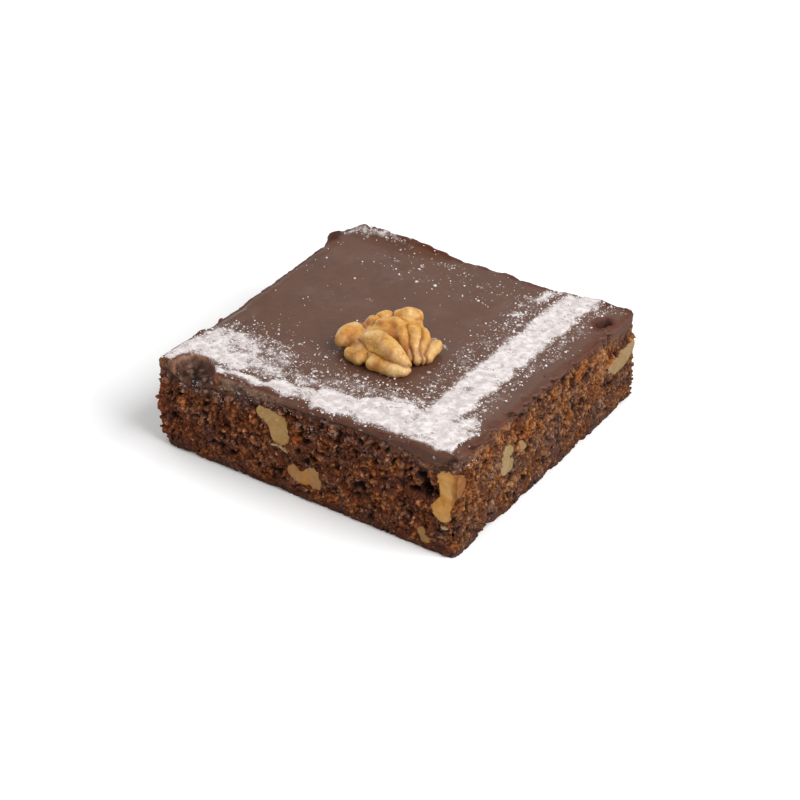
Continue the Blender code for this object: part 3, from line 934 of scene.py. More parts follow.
# Large holes that the knife opened: side, place along it, height, half width, half height and depth.
HOLES = (
    (FRONT, 32.3, 15.5, 1.25, 2.5, 3.2),
    (FRONT, 31.0, 18.0, 1.3, 0.7, 2.4),
    (FRONT, 29.2, 14.1, 1.5, 0.75, 2.2),
    (FRONT, 27.8, 15.9, 0.9, 0.7, 1.4),
    (FRONT, 28.4, 7.2, 1.2, 0.8, 1.6),
    (FRONT, 34.3, 14.6, 0.8, 1.0, 1.8),
    (FRONT, 0.4, 15.4, 0.9, 0.9, 2.0),
    (FRONT, -1.6, 11.8, 0.8, 0.6, 1.8),
    (FRONT, 3.0, 11.4, 1.3, 0.7, 1.8),
    (FRONT, -3.6, 18.2, 1.0, 0.5, 1.4),
    (FRONT, -19.3, 4.9, 1.0, 0.7, 2.0),
    (FRONT, -22.3, 8.7, 0.9, 0.8, 1.8),
    (FRONT, -29.0, 19.6, 1.1, 1.1, 2.4),
    (FRONT, -35.6, 8.4, 1.0, 0.9, 1.6),
    (FRONT, -26.8, 12.6, 0.7, 0.6, 1.4),
    (FRONT, 13.6, 7.2, 1.9, 0.35, 1.6),
    (FRONT, -12.8, 8.9, 0.8, 0.5, 1.2),
    (RIGHT, 26.8, 9.6, 1.3, 0.9, 2.0),
    (RIGHT, -28.6, 15.5, 1.0, 0.8, 1.8),
    (RIGHT, -26.5, 18.4, 1.4, 0.6, 1.6),
    (RIGHT, -13.2, 7.2, 1.1, 0.6, 1.6),
    (RIGHT, -9.5, 12.0, 0.9, 0.6, 1.6),
    (RIGHT, 9.6, 12.2, 0.8, 0.7, 1.4),
    (RIGHT, 20.5, 17.6, 1.8, 0.4, 1.2),
    (BACK, 10.0, 12.0, 1.2, 0.9, 2.2),
    (BACK, -24.0, 8.0, 1.0, 1.3, 2.2),
    (LEFT, -4.0, 14.5, 1.3, 0.8, 2.2),
    (LEFT, 24.0, 9.5, 1.0, 1.0, 2.0),
)

# Larger crumbs that cling to the sides: side, share of the way along it, height and radius.
CLINGING = (
    (FRONT, 0.004, 11.9, 0.45), (FRONT, 0.000, 11.7, 0.50), (FRONT, 0.002, 13.8, 0.30),
    (FRONT, 0.001, 16.2, 0.35), (FRONT, 0.003, 17.6, 0.28), (FRONT, 0.002, 6.4, 0.40),
    (FRONT, 0.004, 3.9, 0.30), (FRONT, 0.000, 8.6, 0.28), (RIGHT, 0.998, 8.6, 0.75),
    (RIGHT, 1.0, 8.3, 0.60), (RIGHT, 0.997, 4.4, 0.45), (RIGHT, 1.0, 15.2, 0.45),
    (RIGHT, 0.999, 1.6, 0.50), (LEFT, 0.80, 22.0, 0.55), (LEFT, 0.815, 22.2, 0.40),
    (LEFT, 0.69, 22.0, 0.60), (LEFT, 0.70, 22.3, 0.35), (LEFT, 0.90, 22.2, 0.40),
    (LEFT, 0.55, 21.8, 0.35), (LEFT, 0.93, 22.0, 0.50),
)

# Thin bits of nut that show in the front's crumb, one of them a curve under the crescent: chains of places
# along the front, height and radius.
SLIVERS = (
    ((-8.4, 11.1, 0.13), (-6.7, 11.5, 0.20), (-5.1, 11.0, 0.24), (-4.3, 10.4, 0.13)),
    ((36.7, 7.0, 0.30), (37.6, 7.2, 0.30)),
)

# At places in x along the front side: from what height sugar has dusted it, and how much.
FRONT_DUST_FROM = (
    (-38, 16.8), (-30, 16.4), (-22, 17.0), (-12, 18.6), (0, 17.0), (12, 17.5), (34, 16.0),
)
FRONT_DUST = (
    (-38, 0.9), (-30, 1.0), (-22, 0.8), (-16, 0.3), (-8, 0.4), (2, 0.6), (12, 0.5), (34, 0.2),
)


def hole_depth(points, bent, side):
    """How deep the large holes of one side are at points on it."""
    deep = np.zeros(len(points))
    ragged = 0.22 * swells(points, 0.8, 49)
    for hole_side, along, height, half_width, half_height, depth in HOLES:
        if hole_side == side:
            reach = np.hypot((bent[:, side % 2] - along) / half_width, (bent[:, 2] - height) / half_height)
            deep += depth * smoothstep(1.15, 0.55, reach + ragged)
    return deep


def crumb_surface(points, side):
    """How far the cut crumb stands out, and its tone, at points on one of the cake's sides."""
    bent = wander(wander(points, 2.6, 0.45, 41), 0.9, 0.22, 44)
    coarse, coarse_tag = nuclei(wander(bent, 0.7, 0.18, 53), 1.12, 51)
    fine, fine_tag = nuclei(bent, 0.48, 52)
    clumps = 0.34 * swells(points, 3.4, 45) + 0.22 * swells(points, 1.7, 46)
    grains = 0.60 * (0.42 - coarse**2) + 0.38 * (coarse_tag - 0.5)
    grains += 0.26 * (0.42 - fine**2) + 0.20 * (fine_tag - 0.5)
    openness = smoothstep(0.8, 4.0, points[:, 2])
    gaps = swells(bent, 2.1, 47) + 0.6 * swells(bent, 0.9, 48) + 0.35 * swells(points, 7.0, 50)
    pores = smoothstep(0.40, 0.80, gaps - 0.12 * (1 - openness))
    relief = 1.15 * (clumps + grains) - 0.85 * pores - hole_depth(points, bent, side)
    relief *= 0.45 + 0.55 * openness
    return relief, crumb_tone(points, side, relief, pores, coarse, coarse_tag, fine_tag)


def crumb_tone(points, side, relief, pores, coarse, coarse_tag, fine_tag):
    """The crumb's colour: rusty and pale grains, a darker foot, and painted shade in the pores, low places
    and gaps between grains.
    """
    z = points[:, 2]
    patches = swells(points, 6.5, 55) + 0.5 * swells(points, 2.4, 56)
    rust = 0.55 * coarse_tag + 0.45 * fine_tag + 0.30 * patches
    if side == RIGHT:
        rust = rust + 0.16 * smoothstep(7, 17, z) - 0.04
    tone = mixed(CRUMB_BROWN, CRUMB_RUST, smoothstep(0.45, 1.0, rust))
    flecks = (0.4 if side == RIGHT else 0.75) * smoothstep(0.93, 1.0, fine_tag)
    tone = mixed(tone, CRUMB_PALE, flecks * smoothstep(0.0, 0.2, relief))
    # Random brightness for each grain, with painted shade towards the gaps between the grains.
    tone = tone * ((0.45 + 0.62 * fine_tag + 0.40 * coarse_tag) * (1.18 - 0.55 * coarse**2))[:, None]
    tone = mixed(tone, CRUMB_BASE, 0.75 * smoothstep(3.2, 1.0, z + 0.8 * patches))
    # Painted shade in the pores and the low places of the crumb.
    tone = mixed(tone, CRUMB_PORE_SHADE, 0.80 * pores + 0.9 * smoothstep(-0.55, -1.3, relief))
    tone = mixed(tone, CRUMB_PORE_SHADE, 0.70 * smoothstep(0.06, -0.36, relief))
    warmth = rough(points, 4.2, 134)
    tone = tone * np.exp(np.outer(warmth, (0.12, -0.16, -0.62)))
    corner = smoothstep(4.5, 1.0, np.hypot(*(points[:, :2] - TOP_CORNERS[FRONT]).T))
    tone = mixed(tone, tone * (1.5, 1.2, 1.0) + 0.002, corner)
    if side == RIGHT:
        return mixed(tone * (1.02, 1.20, 1.42), tone * (1.06, 1.11, 1.16), smoothstep(11, 19, z))
    return tone * (1.12, 1.05, 1.12)


def side_dust(points, side):
    """How much sugar has dusted the crumb of a cut side."""
    if side == FRONT:
        low = read_off(FRONT_DUST_FROM, points[:, 0])
        return read_off(FRONT_DUST, points[:, 0]) * smoothstep(low, low + 2.0, points[:, 2])
    if side == RIGHT:
        return 0.6 * smoothstep(-26, -34, points[:, 1]) * smoothstep(19, 21.5, points[:, 2])
    return np.zeros(len(points))


def base_wear(points, side):
    """How far the bottom edge is rubbed or broken away."""
    z = points[:, 2]
    flat = with_z(points[:, 0], points[:, 1])
    wear = 0.35 * smoothstep(0.8, 0.0, z) ** 2
    broken = 0.4 if side == FRONT else 0.9
    wear += broken * smoothstep(0.15, 0.7, swells(flat, 4.2, 57)) * smoothstep(1.4, 0.0, z)
    if side == RIGHT:
        wear += 2.2 * bell(points[:, 1], -25.5, 2.4) * smoothstep(2.0, 0.3, z)
    corner = np.hypot(*(points[:, :2] - BASE_CORNERS[FRONT]).T)
    return wear + 1.7 * smoothstep(4.2, 0.5, corner) * smoothstep(3.4, 0.5, z)


def side_grid(side, columns, heights):
    """A side's points, at these heights of each column, and the way out at each column."""
    along = np.linspace(-1, 1, columns)
    one = np.ones(columns)
    u, v = ((along, -one), (one, along), (-along, one), (-one, -along))[side]
    shrink = rounding(u, v)
    out = way_out(u * shrink, v * shrink)
    x, y = plan(u[None], v[None], 0.0, heights)
    return np.stack([x, y, heights], -1), out


def sugared(tone, points, relief, over_lip, side):
    """The crumb's tone with sugar on it: a haze by the icing's lip and white on the crests."""
    dusted = smoothstep(-2.2 if side == FRONT else -1.0, 0.0, over_lip)
    crest = smoothstep(-0.05, 0.35, relief) * smoothstep(-0.1, 0.5, swells(points, 1.1, 59))
    tone = mixed(tone, CRUMB_DUSTED, 0.40 * dusted)
    return mixed(tone, CRUMB_SUGARED, 0.75 * crest * side_dust(points, side))


def under_icing(relief, over_lip, edge, rows):
    """The relief pressed flat at the icing's lip and drawn back behind it, save where the edge is bare."""
    at_lip = bell(over_lip, 0.1, 0.6)
    relief = relief * (1 - 0.5 * at_lip) - 0.08 * at_lip
    bare_edge = np.tile(smoothstep(0.2, 0.6, edge_setback(edge[:, 0], edge[:, 1])), rows)
    covered = smoothstep(0.6, 1.3, over_lip) * (1 - bare_edge)
    return relief * (1 - covered) - 0.8 * covered


def with_nuts(points, relief, tone, side):
    """The relief and tone with the slivers of nut, and with pockets behind the pieces of walnut."""
    if side == FRONT:
        for sections in SLIVERS:
            share = smoothstep(0.24, 0.04, chain_distance(points, on_side(FRONT, sections)))
            tone = mixed(tone, SLIVER_PALE, share)
            relief += (0.25 - relief) * share
    for piece in PIECES.values():
        inside = chain_distance(points, on_side(*piece, PIECE_DEPTH)) + 0.30 * swells(points, 0.9, 58)
        pocket = smoothstep(-0.10, -0.45, inside)
        relief = relief * (1 - pocket) - POCKET_DEPTH * pocket
    return relief, tone


def ledge_rows(top_row, out, side):
    """Rows of points that step in, under the icing, from the top of a cut side."""
    ledge = []
    for inward in LEDGE:
        row = top_row.copy()
        row[:, :2] -= inward * out
        row[:, 2] = np.minimum(row[:, 2], top_height(row[:, 0], row[:, 1]) - 0.55)
        uneven = 0.45 * swells(row, 0.9, 60) + 0.25 * swells(row, 2.0, 66)
        row[:, 2] += uneven * (1.0 if side == RIGHT else 0.3) - 0.3 * (inward == LEDGE[-1])
        ledge.append(row)
    return ledge


def make_cake_side(side, name):
    """One cut side. Gives its rows of points, the way out at each column and the tones."""
    length = np.linalg.norm(TOP_CORNERS[(side + 1) % 4] - TOP_CORNERS[side])
    columns = round(length / CRUMB_PITCH)
    rows = round(np.mean(ICING_TOP) / CRUMB_PITCH)
    edge, out = side_grid(side, columns, np.full((1, columns), CORNER_HEIGHT))
    edge = edge[0, :, :2]
    inner = edge - 0.9 * out
    lid = np.minimum(top_height(*edge.T), top_height(*inner.T)) - LID_GAP
    lip = lip_height(*edge.T)
    heights = np.linspace(0, 1, rows)[:, None] * lid[None]
    wall, _ = side_grid(side, columns, heights)
    points = wall.reshape(-1, 3)

    relief, tone = crumb_surface(points, side)
    over_lip = points[:, 2] - np.tile(lip, rows)
    relief = under_icing(relief, over_lip, edge, rows)
    tone = sugared(tone, points, relief, over_lip, side)
    relief, tone = with_nuts(points, relief, tone, side)
    relief -= base_wear(points, side)
    drift = wander(points, 0.8, 0.14, 71) - points
    drift[:, 2] *= smoothstep(0.2, 1.0, points[:, 2])
    moved = points + drift
    moved[:, :2] += np.tile(out, (rows, 1)) * relief[:, None]
    moved[:, 2] = np.maximum(moved[:, 2], 0)

    grid = moved.reshape(rows, columns, 3)
    under = grid[0].copy()
    under[:, :2] -= SKIRT * out
    under[:, 2] = 0.25
    points = np.concatenate([under, moved] + ledge_rows(grid[-1], out, side))
    all_rows = 1 + rows + len(LEDGE)
    all_tones = np.concatenate([tone[:columns], tone, np.tile(tone[-columns:], (len(LEDGE), 1))])
    along = np.tile(np.linspace(0, length, columns), all_rows)
    across = np.concatenate([np.full(columns, -SKIRT), heights.ravel()] + [lid + inward for inward in LEDGE])
    unfolded = np.stack([along, across], -1)
    piece = make_piece(name, points, strips(all_rows, columns), all_tones, unfolded)
    piece.data.materials.append(crumb_material())
    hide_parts("cake")
    return grid, out, tone.reshape(rows, columns, 3)


def make_cake_base():
    """The baked underside."""
    across = np.linspace(-1, 1, BASE_CELLS)
    u, v = np.meshgrid(across, across)
    x, y = plan(u, v, -2.2, 0.0)
    points = with_z(x, y).reshape(-1, 3)
    pores = smoothstep(0.30, 0.8, rough(points, 2.6, 81))
    points[:, 2] = 0.12 + 0.5 * pores * smoothstep(1.0, 0.97, np.maximum(abs(u), abs(v)).ravel())
    # Painted shade in the underside's pores.
    tone = mixed(CRUMB_BASE, CRUMB_PORE_SHADE, 0.7 * pores)
    tone = mixed(tone, CRUMB_BROWN, 0.4 + 0.5 * rough(points, 5.0, 83))
    piece = make_piece("crumb_base", points, strips(BASE_CELLS, BASE_CELLS)[:, ::-1], tone, points[:, :2])
    piece.data.materials.append(crumb_material())
    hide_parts("cake")


def clinging_crumbs(side, grid, out, tone):
    """The places and tones of the larger crumbs that cling to one side."""
    columns = grid.shape[1]
    spots, tones = [], []
    for at_side, share, height, radius in CLINGING:
        if at_side == side:
            column = round(share * (columns - 1))
            row = int(abs(grid[:, column, 2] - height).argmin())
            spots.append(grid[row, column] + 0.5 * radius * np.append(out[column], 0))
            tones.append(tone[row, column])
    return spots, tones


def make_cake():
    """The cake's four cut sides and its underside, and the crumbs that cling to the sides."""
    rng = np.random.default_rng(5)
    spots, tones = [], []
    clinging, clinging_tones = [], []
    for side, name in enumerate(("crumb_front", "crumb_right", "crumb_back", "crumb_left")):
        grid, out, tone = make_cake_side(side, name)
        rows, columns, _ = grid.shape
        large, large_tones = clinging_crumbs(side, grid, out, tone)
        clinging += large
        clinging_tones += large_tones
        row = rng.integers(6, rows - 14, CRUMBS_A_SIDE)
        column = rng.integers(2, columns - 2, CRUMBS_A_SIDE)
        spots.append(grid[row, column] + with_z(*(0.05 * out[column]).T))
        tones.append(tone[row, column])
    spots, tones = np.concatenate([clinging] + spots), np.concatenate([clinging_tones] + tones)
    radii = 0.12 + 0.26 * rng.random(len(spots)) ** 2
    radii[:len(CLINGING)] = [radius for _, _, _, radius in CLINGING]
    points, faces = pebbles(spots, radii, rng)
    own = mixed(CRUMB_BROWN, CRUMB_RUST, rng.random(len(spots)) * 1.2)
    own = mixed(own, CRUMB_PALE, 0.8 * (rng.random(len(spots)) > 0.93))
    tone = np.repeat(mixed(tones, own, np.full(len(spots), 0.7)), 12, axis=0)
    piece = make_piece("crumb_bits", points, faces, tone, smooth=False)
    piece.data.materials.append(crumb_material())
    make_cake_base()


# ---------------------------------------------------------------- icing

ICING_BROWN = (0.100, 0.0455, 0.0290)
ICING_RED = (0.080, 0.021, 0.012)
ICING_SIDE = (0.135, 0.066, 0.038)
ICING_PALE = (0.270, 0.175, 0.125)
# A darkened copy of the icing's brown: painted shade on its upright sides and inside the hollow
ICING_SHADED_BROWN = (0.075, 0.034, 0.023)
# Painted shade for pits: in the crumbly icing and at the foot of the hollow
ICING_PIT_SHADE = (0.018, 0.008, 0.006)
# Painted highlight along the brink of the hollow
ICING_RIM_HIGHLIGHT = (0.260, 0.118, 0.075)
# Pale lilac patches of painted sheen on the icing
ICING_SHEEN_PATCH = (0.20, 0.135, 0.125)
# A darkened copy of the icing's red: painted shade inside the burst bubble
BURST_SHADE = (0.0360, 0.00945, 0.00540)
KNOB_RED = (0.0480, 0.01260, 0.00720)

ICING_PITCH = 0.42
ICING_INSET = 0.8  # where the top ends and the roll over the edge begins
ICING_PROUD = 0.12  # how far the icing stands out past the cut sides
TUCK = 2.8  # how far it turns in under its lip
TURN_RINGS = 6  # in the roll, and down the side
SIDE_RINGS = 14


def icing_rings(u, v, start, lip):
    """Rings of points that roll over the icing's edge, hang down the sides and turn in under the lip."""
    end = np.maximum(start - 0.7, lip + 0.1)
    rings = []
    for turn in np.linspace(0, math.pi / 2, TURN_RINGS + 1)[1:]:
        height = end + (start - end) * math.cos(turn)
        grown = -ICING_INSET + (ICING_INSET + ICING_PROUD) * math.sin(turn)
        rings.append(with_z(*plan(u, v, grown, height), height))
    for share in np.linspace(0, 1, SIDE_RINGS + 1)[1:]:
        height = end + share * (lip - end)
        thinned = ICING_PROUD - (ICING_PROUD + 0.32) * float(smoothstep(0.3, 1.0, np.array(share)))
        rings.append(with_z(*plan(u, v, thinned, height), height))
    rings.append(with_z(*plan(u, v, -TUCK, lip + 0.2), lip + 0.2))
    return np.array(rings)


def ring_faces(rim, tops, count):
    """Quads between the top's rim and the rings, each of which is closed."""
    index = np.concatenate([rim, tops + np.arange(count * len(rim))]).reshape(count + 1, -1)
    closed = np.concatenate([index, index[:, :1]], 1)
    quads = np.stack([closed[:-1, :-1], closed[1:, :-1], closed[1:, 1:], closed[:-1, 1:]], -1)
    return quads.reshape(-1, 4)


def icing_shape():
    """A grid over the top, then rings that roll over its edge, down the sides and back in.

    Gives the points, the faces, the place of each on the unfolded map, how many are on the top, how far each
    has turned, from 0 on the top to 1 where the surface stands upright, and then how far down the side it is.
    """
    across, deep = (round(2 * half / ICING_PITCH) for half in HALF_SIDES)
    u, v = np.meshgrid(np.linspace(-1, 1, across), np.linspace(-1, 1, deep))
    x, y = plan(u, v, -ICING_INSET)
    top = with_z(x, y, top_height(x, y)).reshape(-1, 3)
    index = np.arange(across * deep).reshape(deep, across)
    rim = np.concatenate([index[0, :-1], index[:-1, -1], index[-1, :0:-1], index[:0:-1, 0]])
    edge = top[rim]
    rim_u, rim_v = u.ravel()[rim], v.ravel()[rim]
    shrink = rounding(rim_u, rim_v)
    out = way_out(rim_u * shrink, rim_v * shrink)
    rings = icing_rings(rim_u, rim_v, edge[:, 2], lip_height(*plan(rim_u, rim_v)))
    count = len(rings)

    steps = np.linalg.norm(np.diff(np.concatenate([edge[None], rings]), axis=0), axis=2).mean(1)
    skirts = [edge[:, :2] + out * distance for distance in np.cumsum(steps)]
    unfolded = np.concatenate([top[:, :2]] + skirts)

    side = rings.reshape(-1, 3)
    outward = np.tile(out, (count, 1))
    fade = np.repeat([min(1.0, i / 5) for i in range(count - 1)] + [0.0], len(rim))
    crumbly = 1 + 1.0 * smoothstep(-4, -10, side[:, 0]) * (outward[:, 1] < -0.7)
    smear = 0.17 * rough(side, 2.2, 101) + 0.14 * rough(side, 0.9, 104) * crumbly
    side[:, :2] += outward * (smear * fade)[:, None]
    points = np.concatenate([top, side])
    faces = np.concatenate([strips(deep, across), ring_faces(rim, len(top), count)])
    ring = np.concatenate([np.zeros(len(top)), np.repeat(np.arange(1, count + 1), len(rim))])
    turned = np.minimum(ring / TURN_RINGS, 1)
    hang = np.clip((ring - TURN_RINGS) / SIDE_RINGS, 0, 1)
    return points, faces, unfolded, len(top), turned, hang


def icing_dust(points, tops, turned, front):
    """How thick sugar lies on the icing: on its top, over its front edge and lightly down its front."""
    dust = sugar_cover(points[:, 0], points[:, 1])
    x = points[tops:, 0]
    draped = dust[tops:] * smoothstep(1.1, 0.5, turned[tops:])
    draped = draped * smoothstep(-28, -24, x)
    lightly = 0.08 + 0.17 * smoothstep(-28, -18, x)
    dusted = lightly * side_dust(points[tops:], FRONT) * smoothstep(3.0, 0.5, front[tops:])
    dust[tops:] = np.maximum(draped, dusted)
    return dust


def sugar_heaps(flat, dust):
    """How high the sugar heaps up on the top where it lies thick."""
    heap = 0.15 + 0.22 * swells(flat, 2.2, 111) + 0.05 * swells(flat, 0.9, 112)
    return np.maximum(smoothstep(0.60, 1.05, dust) * heap, 0)


def make_icing():
    """The coat of icing, with its sugar heaped on it and its edge broken in the hollow at the front."""
    points, faces, unfolded, tops, turned, hang = icing_shape()
    x, y = points[:, 0], points[:, 1]
    flat = with_z(x, y)
    front, _, _, left = side_distances(x, y)
    brink = front_dent(x, y) + 0.06 * swells(flat, 1.4, 118)
    upright = smoothstep(0.5, 1.0, turned)
    dust = icing_dust(points, tops, turned, front)
    points[:tops, 2] += sugar_heaps(flat[:tops], dust[:tops])

    # The crumb shows where the icing is broken in the hollow, and on its right there is a smooth wall.
    broken = smoothstep(0.96, 0.88, brink + 0.05 * (x + 30.5) * (x > -30.5) + 0.05 * rough(flat, 1.4, 130))
    coarse, coarse_tag = nuclei(wander(points, 1.2, 0.3, 119), 1.5, 120)
    _, fine_tag = nuclei(wander(points, 0.9, 0.15, 122), 0.9, 123)
    crumbs = 0.45 * (0.42 - coarse**2) + 0.45 * (coarse_tag - 0.5) + 0.25 * (fine_tag - 0.5)
    points[:, 2] += broken * (0.55 * crumbs + 0.3) * (turned < 1)

    crumbly = smoothstep(-4, -10, x) * smoothstep(1.2, 0.5, front)
    fringe = smoothstep(0.25, 0.75, hang - 0.15 + 0.30 * rough(points, 1.3, 129))
    tone = stained_icing(points, flat)
    # Painted shade where the icing turns upright.
    tone = mixed(tone, ICING_SHADED_BROWN, upright * (1 - crumbly))
    tone = mixed(tone, ICING_RED, 0.85 * smoothstep(-4, -10, x) * bell(front, 1.25, 0.45))
    tone = mixed(tone, 0.86 * crumbly_icing(points, coarse_tag, fine_tag), crumbly)
    tone = mixed(tone, mixed(CRUMB_BROWN, CRUMB_RUST, 1.1 * fine_tag), 0.85 * fringe)
    tone = with_hollow(tone, flat, brink, broken, coarse_tag, fine_tag)
    tone = with_blemishes(tone, flat)

    dull = np.clip(0.8 * upright + broken + crumbly, 0, 1)
    dull = np.maximum(dull, smoothstep(1.3, 0.9, bubble_distance(x, y)))
    dull = np.maximum(dull, smoothstep(-26, -30, x) * smoothstep(2.5, 1.0, front))
    dull = np.maximum(dull, 0.7 * smoothstep(2.0, 0.6, left + 0.5 * rough(flat, 2.2, 128)))
    grainy = np.clip(broken + crumbly + 0.8 * fringe, 0, 1) * (1 - 0.8 * bell(brink, 0.99, 0.06))
    levels = {"dust": dust, "dull": dull, "grainy": grainy}
    piece = make_piece("icing_coat", set_back(points), faces, tone, unfolded, levels=levels)
    piece.data.materials.append(icing_material())
    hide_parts("icing")


def stained_icing(points, flat):
    """The icing's brown, redder towards its edges."""
    x, y = flat[:, 0], flat[:, 1]
    front, right, back, left = side_distances(x, y)
    rim = np.min([front, right, back - 1.1, left], axis=0)
    stains = 0.5 + 0.7 * rough(points, 3.5, 108)
    tone = mixed(ICING_BROWN, ICING_RED, 0.8 * smoothstep(1.4, 0.4, rim) * stains)
    ragged = right + 0.9 * rough(flat, 2.6, 124)
    tone = mixed(tone, ICING_RED, 0.30 * smoothstep(0.8, 0.1, ragged) * smoothstep(32, 26, y) * stains)
    return mixed(tone, ICING_RED, 0.9 * smoothstep(1.9, 1.0, back + 0.8 * rough(flat, 3.0, 133)) * (x > -18))


def crumbly_icing(points, coarse_tag, fine_tag):
    """The grey, crumbly icing on the left of the front side, bared to the crumb at its far end."""
    greyed = mixed(ICING_SIDE, ICING_PALE, 0.55 * fine_tag + 0.5 * rough(points, 1.6, 121))
    pits = smoothstep(0.45, 0.10, coarse_tag + 0.3 * rough(points, 1.0, 125))
    # Painted shade in the pits.
    greyed = mixed(greyed, ICING_PIT_SHADE, 0.6 * pits)
    bared = mixed(CRUMB_BROWN, CRUMB_RUST, 1.1 * fine_tag)
    bared = mixed(bared, ICING_PALE, 0.45 * smoothstep(0.3, 0.9, coarse_tag))
    return mixed(greyed, bared, smoothstep(-20, -24, points[:, 0]))


def with_hollow(tone, flat, brink, broken, coarse_tag, fine_tag):
    """The tone with the hollow in the front edge: its brink with a painted highlight, painted shade inside
    it, its crumb and the pit at its foot painted dark as shade.
    """
    x, y = flat[:, 0], flat[:, 1]
    # The brink: dark red, and on its left a painted highlight.
    rim = mixed(ICING_RED, ICING_RIM_HIGHLIGHT, smoothstep(-27, -31, x))
    tone = mixed(tone, rim, 0.9 * bell(brink, 1.0, 0.045))
    # Painted shade inside the hollow.
    tone = mixed(tone, ICING_SHADED_BROWN, smoothstep(0.97, 0.88, brink))
    crumb = mixed(mixed(CRUMB_PORE_SHADE, ICING_SHADED_BROWN, 1.2 * coarse_tag), ICING_SIDE, 0.8 * fine_tag - 0.2)
    crumb = mixed(crumb, ICING_PALE, 0.45 * smoothstep(0.75, 0.95, fine_tag))
    tone = mixed(tone, crumb, broken)
    # The pit at the hollow's foot, painted dark as shade.
    pit = np.hypot(x + 29.7, y + 36.1) + 0.5 * rough(flat, 1.2, 109)
    return mixed(tone, ICING_PIT_SHADE, 0.95 * smoothstep(1.8, 0.9, pit))


def with_blemishes(tone, flat):
    """The tone with the burst bubble and painted shade in its pit, the dark knob by the back corner, broad
    uneven patches, and pale patches of painted sheen.
    """
    x, y = flat[:, 0], flat[:, 1]
    burst = bubble_distance(x, y)
    tone = mixed(tone, ICING_RED, 0.9 * bell(burst, 1.2, 0.35))
    # Painted shade in the burst bubble's pit.
    tone = mixed(tone, BURST_SHADE, 0.95 * smoothstep(1.05, 0.8, burst))
    knob = np.hypot(x + 39.8, y - 31.3) + 0.6 * rough(flat, 1.5, 110)
    tone = mixed(tone, KNOB_RED, 0.95 * smoothstep(3.6, 2.4, knob))
    tone = tone * (1 + 0.08 * rough(flat, 12, 105) + 0.04 * rough(flat, 3, 106))[:, None]
    tone = mixed(tone, tone * (0.97, 0.91, 0.80), smoothstep(-0.1, 0.6, swells(flat, 15, 131)))
    # Pale lilac patches away from the edges: painted sheen.
    away_from_edge = np.min(side_distances(x, y), axis=0) > 4
    return mixed(tone, ICING_SHEEN_PATCH, 0.13 * smoothstep(0.1, 0.8, rough(flat, 10, 132)) * away_from_edge)


# ---------------------------------------------------------------- sugar

# Where the sugar was sifted: from x, y to x, y, half width, softness and strength.
SIFTED = (
    (26.8, -30.0, 27.0, 12.0, 4.1, 2.4, 1.2),
    (27.1, 12.0, 26.9, 40.0, 4.2, 2.0, 1.15),
    (31.0, -30.5, 34.0, -25.5, 3.1, 2.6, 1.0),
    (12.0, -27.6, 20.0, -25.0, 1.8, 2.4, 0.95),
    (14.0, -24.4, 20.0, -22.4, 1.2, 3.6, 0.92),
    (-25.5, -33.9, -9.0, -33.3, 0.9, 1.5, 1.15),
    (-10.0, -32.4, 2.0, -32.1, 2.1, 1.6, 1.12),
    (2.0, -31.7, 14.0, -31.6, 3.5, 1.7, 1.2),
    (9.0, -33.4, 23.0, -34.0, 1.5, 1.8, 1.1),
    (13.0, -30.1, 24.0, -29.8, 5.1, 2.1, 1.2),
    (24.0, -30.0, 36.3, -31.0, 5.0, 2.2, 1.12),
    (-38.8, -28.5, -31.0, -25.8, 3.9, 3.4, 1.1),
    (-38.8, -34.5, -38.0, -30.0, 2.4, 1.4, 1.15),
    (-34.0, -28.4, -23.0, -29.8, 2.8, 2.6, 1.12),
    (-33.0, -21.4, -25.5, -22.8, 3.6, 4.0, 1.00),
    (-35.0, -20.2, -28.0, -19.8, 1.0, 3.4, 0.86),
    (-33.0, -17.2, -16.0, -20.0, 0.8, 3.8, 0.62),
    (-28.0, -21.4, -15.0, -22.8, 2.2, 5.2, 0.82),
    (-27.0, -26.6, -16.0, -27.4, 2.6, 3.8, 0.88),
    (-20.0, -27.6, 12.0, -28.0, 2.2, 5.5, 0.64),
    (0.0, -24.2, 20.0, -21.6, 2.0, 6.0, 0.58),
    (19.2, -20.0, 19.6, 30.0, 1.4, 5.0, 0.46),
    (18.6, 30.6, 19.8, 35.6, 1.1, 2.4, 0.98),
    (31.0, 27.5, 31.4, 37.5, 0.7, 2.0, 0.80),
    (33.6, -26.0, 33.6, 34.0, 1.0, 3.0, 0.44),
    (30.0, 34.0, 37.5, 36.0, 0.8, 3.0, 0.34),
    (-30.0, -15.0, 8.0, -16.0, 1.0, 5.5, 0.22),
    (-16.0, -21.0, -2.0, -22.6, 1.0, 4.0, 0.36),
    (-20.0, 28.0, 14.0, 29.6, 4.0, 9.0, 0.11),
    (-36.5, 36.0, -25.5, 36.9, 0.8, 2.2, 0.82),
    (-26.0, 36.5, -22.0, 36.0, 0.3, 1.2, 0.50),
    (-12.0, 33.2, -4.0, 33.4, 0.3, 1.6, 0.46),
    (13.6, 29.4, 19.6, 30.0, 0.4, 2.2, 0.50),
    (7.5, 0.8, 8.5, 1.6, 0.3, 1.2, 0.75),
    (11.6, 1.4, 12.4, 0.6, 0.2, 1.0, 0.70),
    (17.9, 21.6, 19.3, 22.6, 0.4, 1.1, 1.0),
)

# At places in x along the front: how much of the drooping edge stays bare of sugar.
BARE_FRONT = (
    (-39, 0.2), (-35, 0.7), (-27, 0.7), (-24, 0.25), (-8, 0.20), (0, 0.1), (8, 0.0), (24, 0.1), (30, 0.6),
)

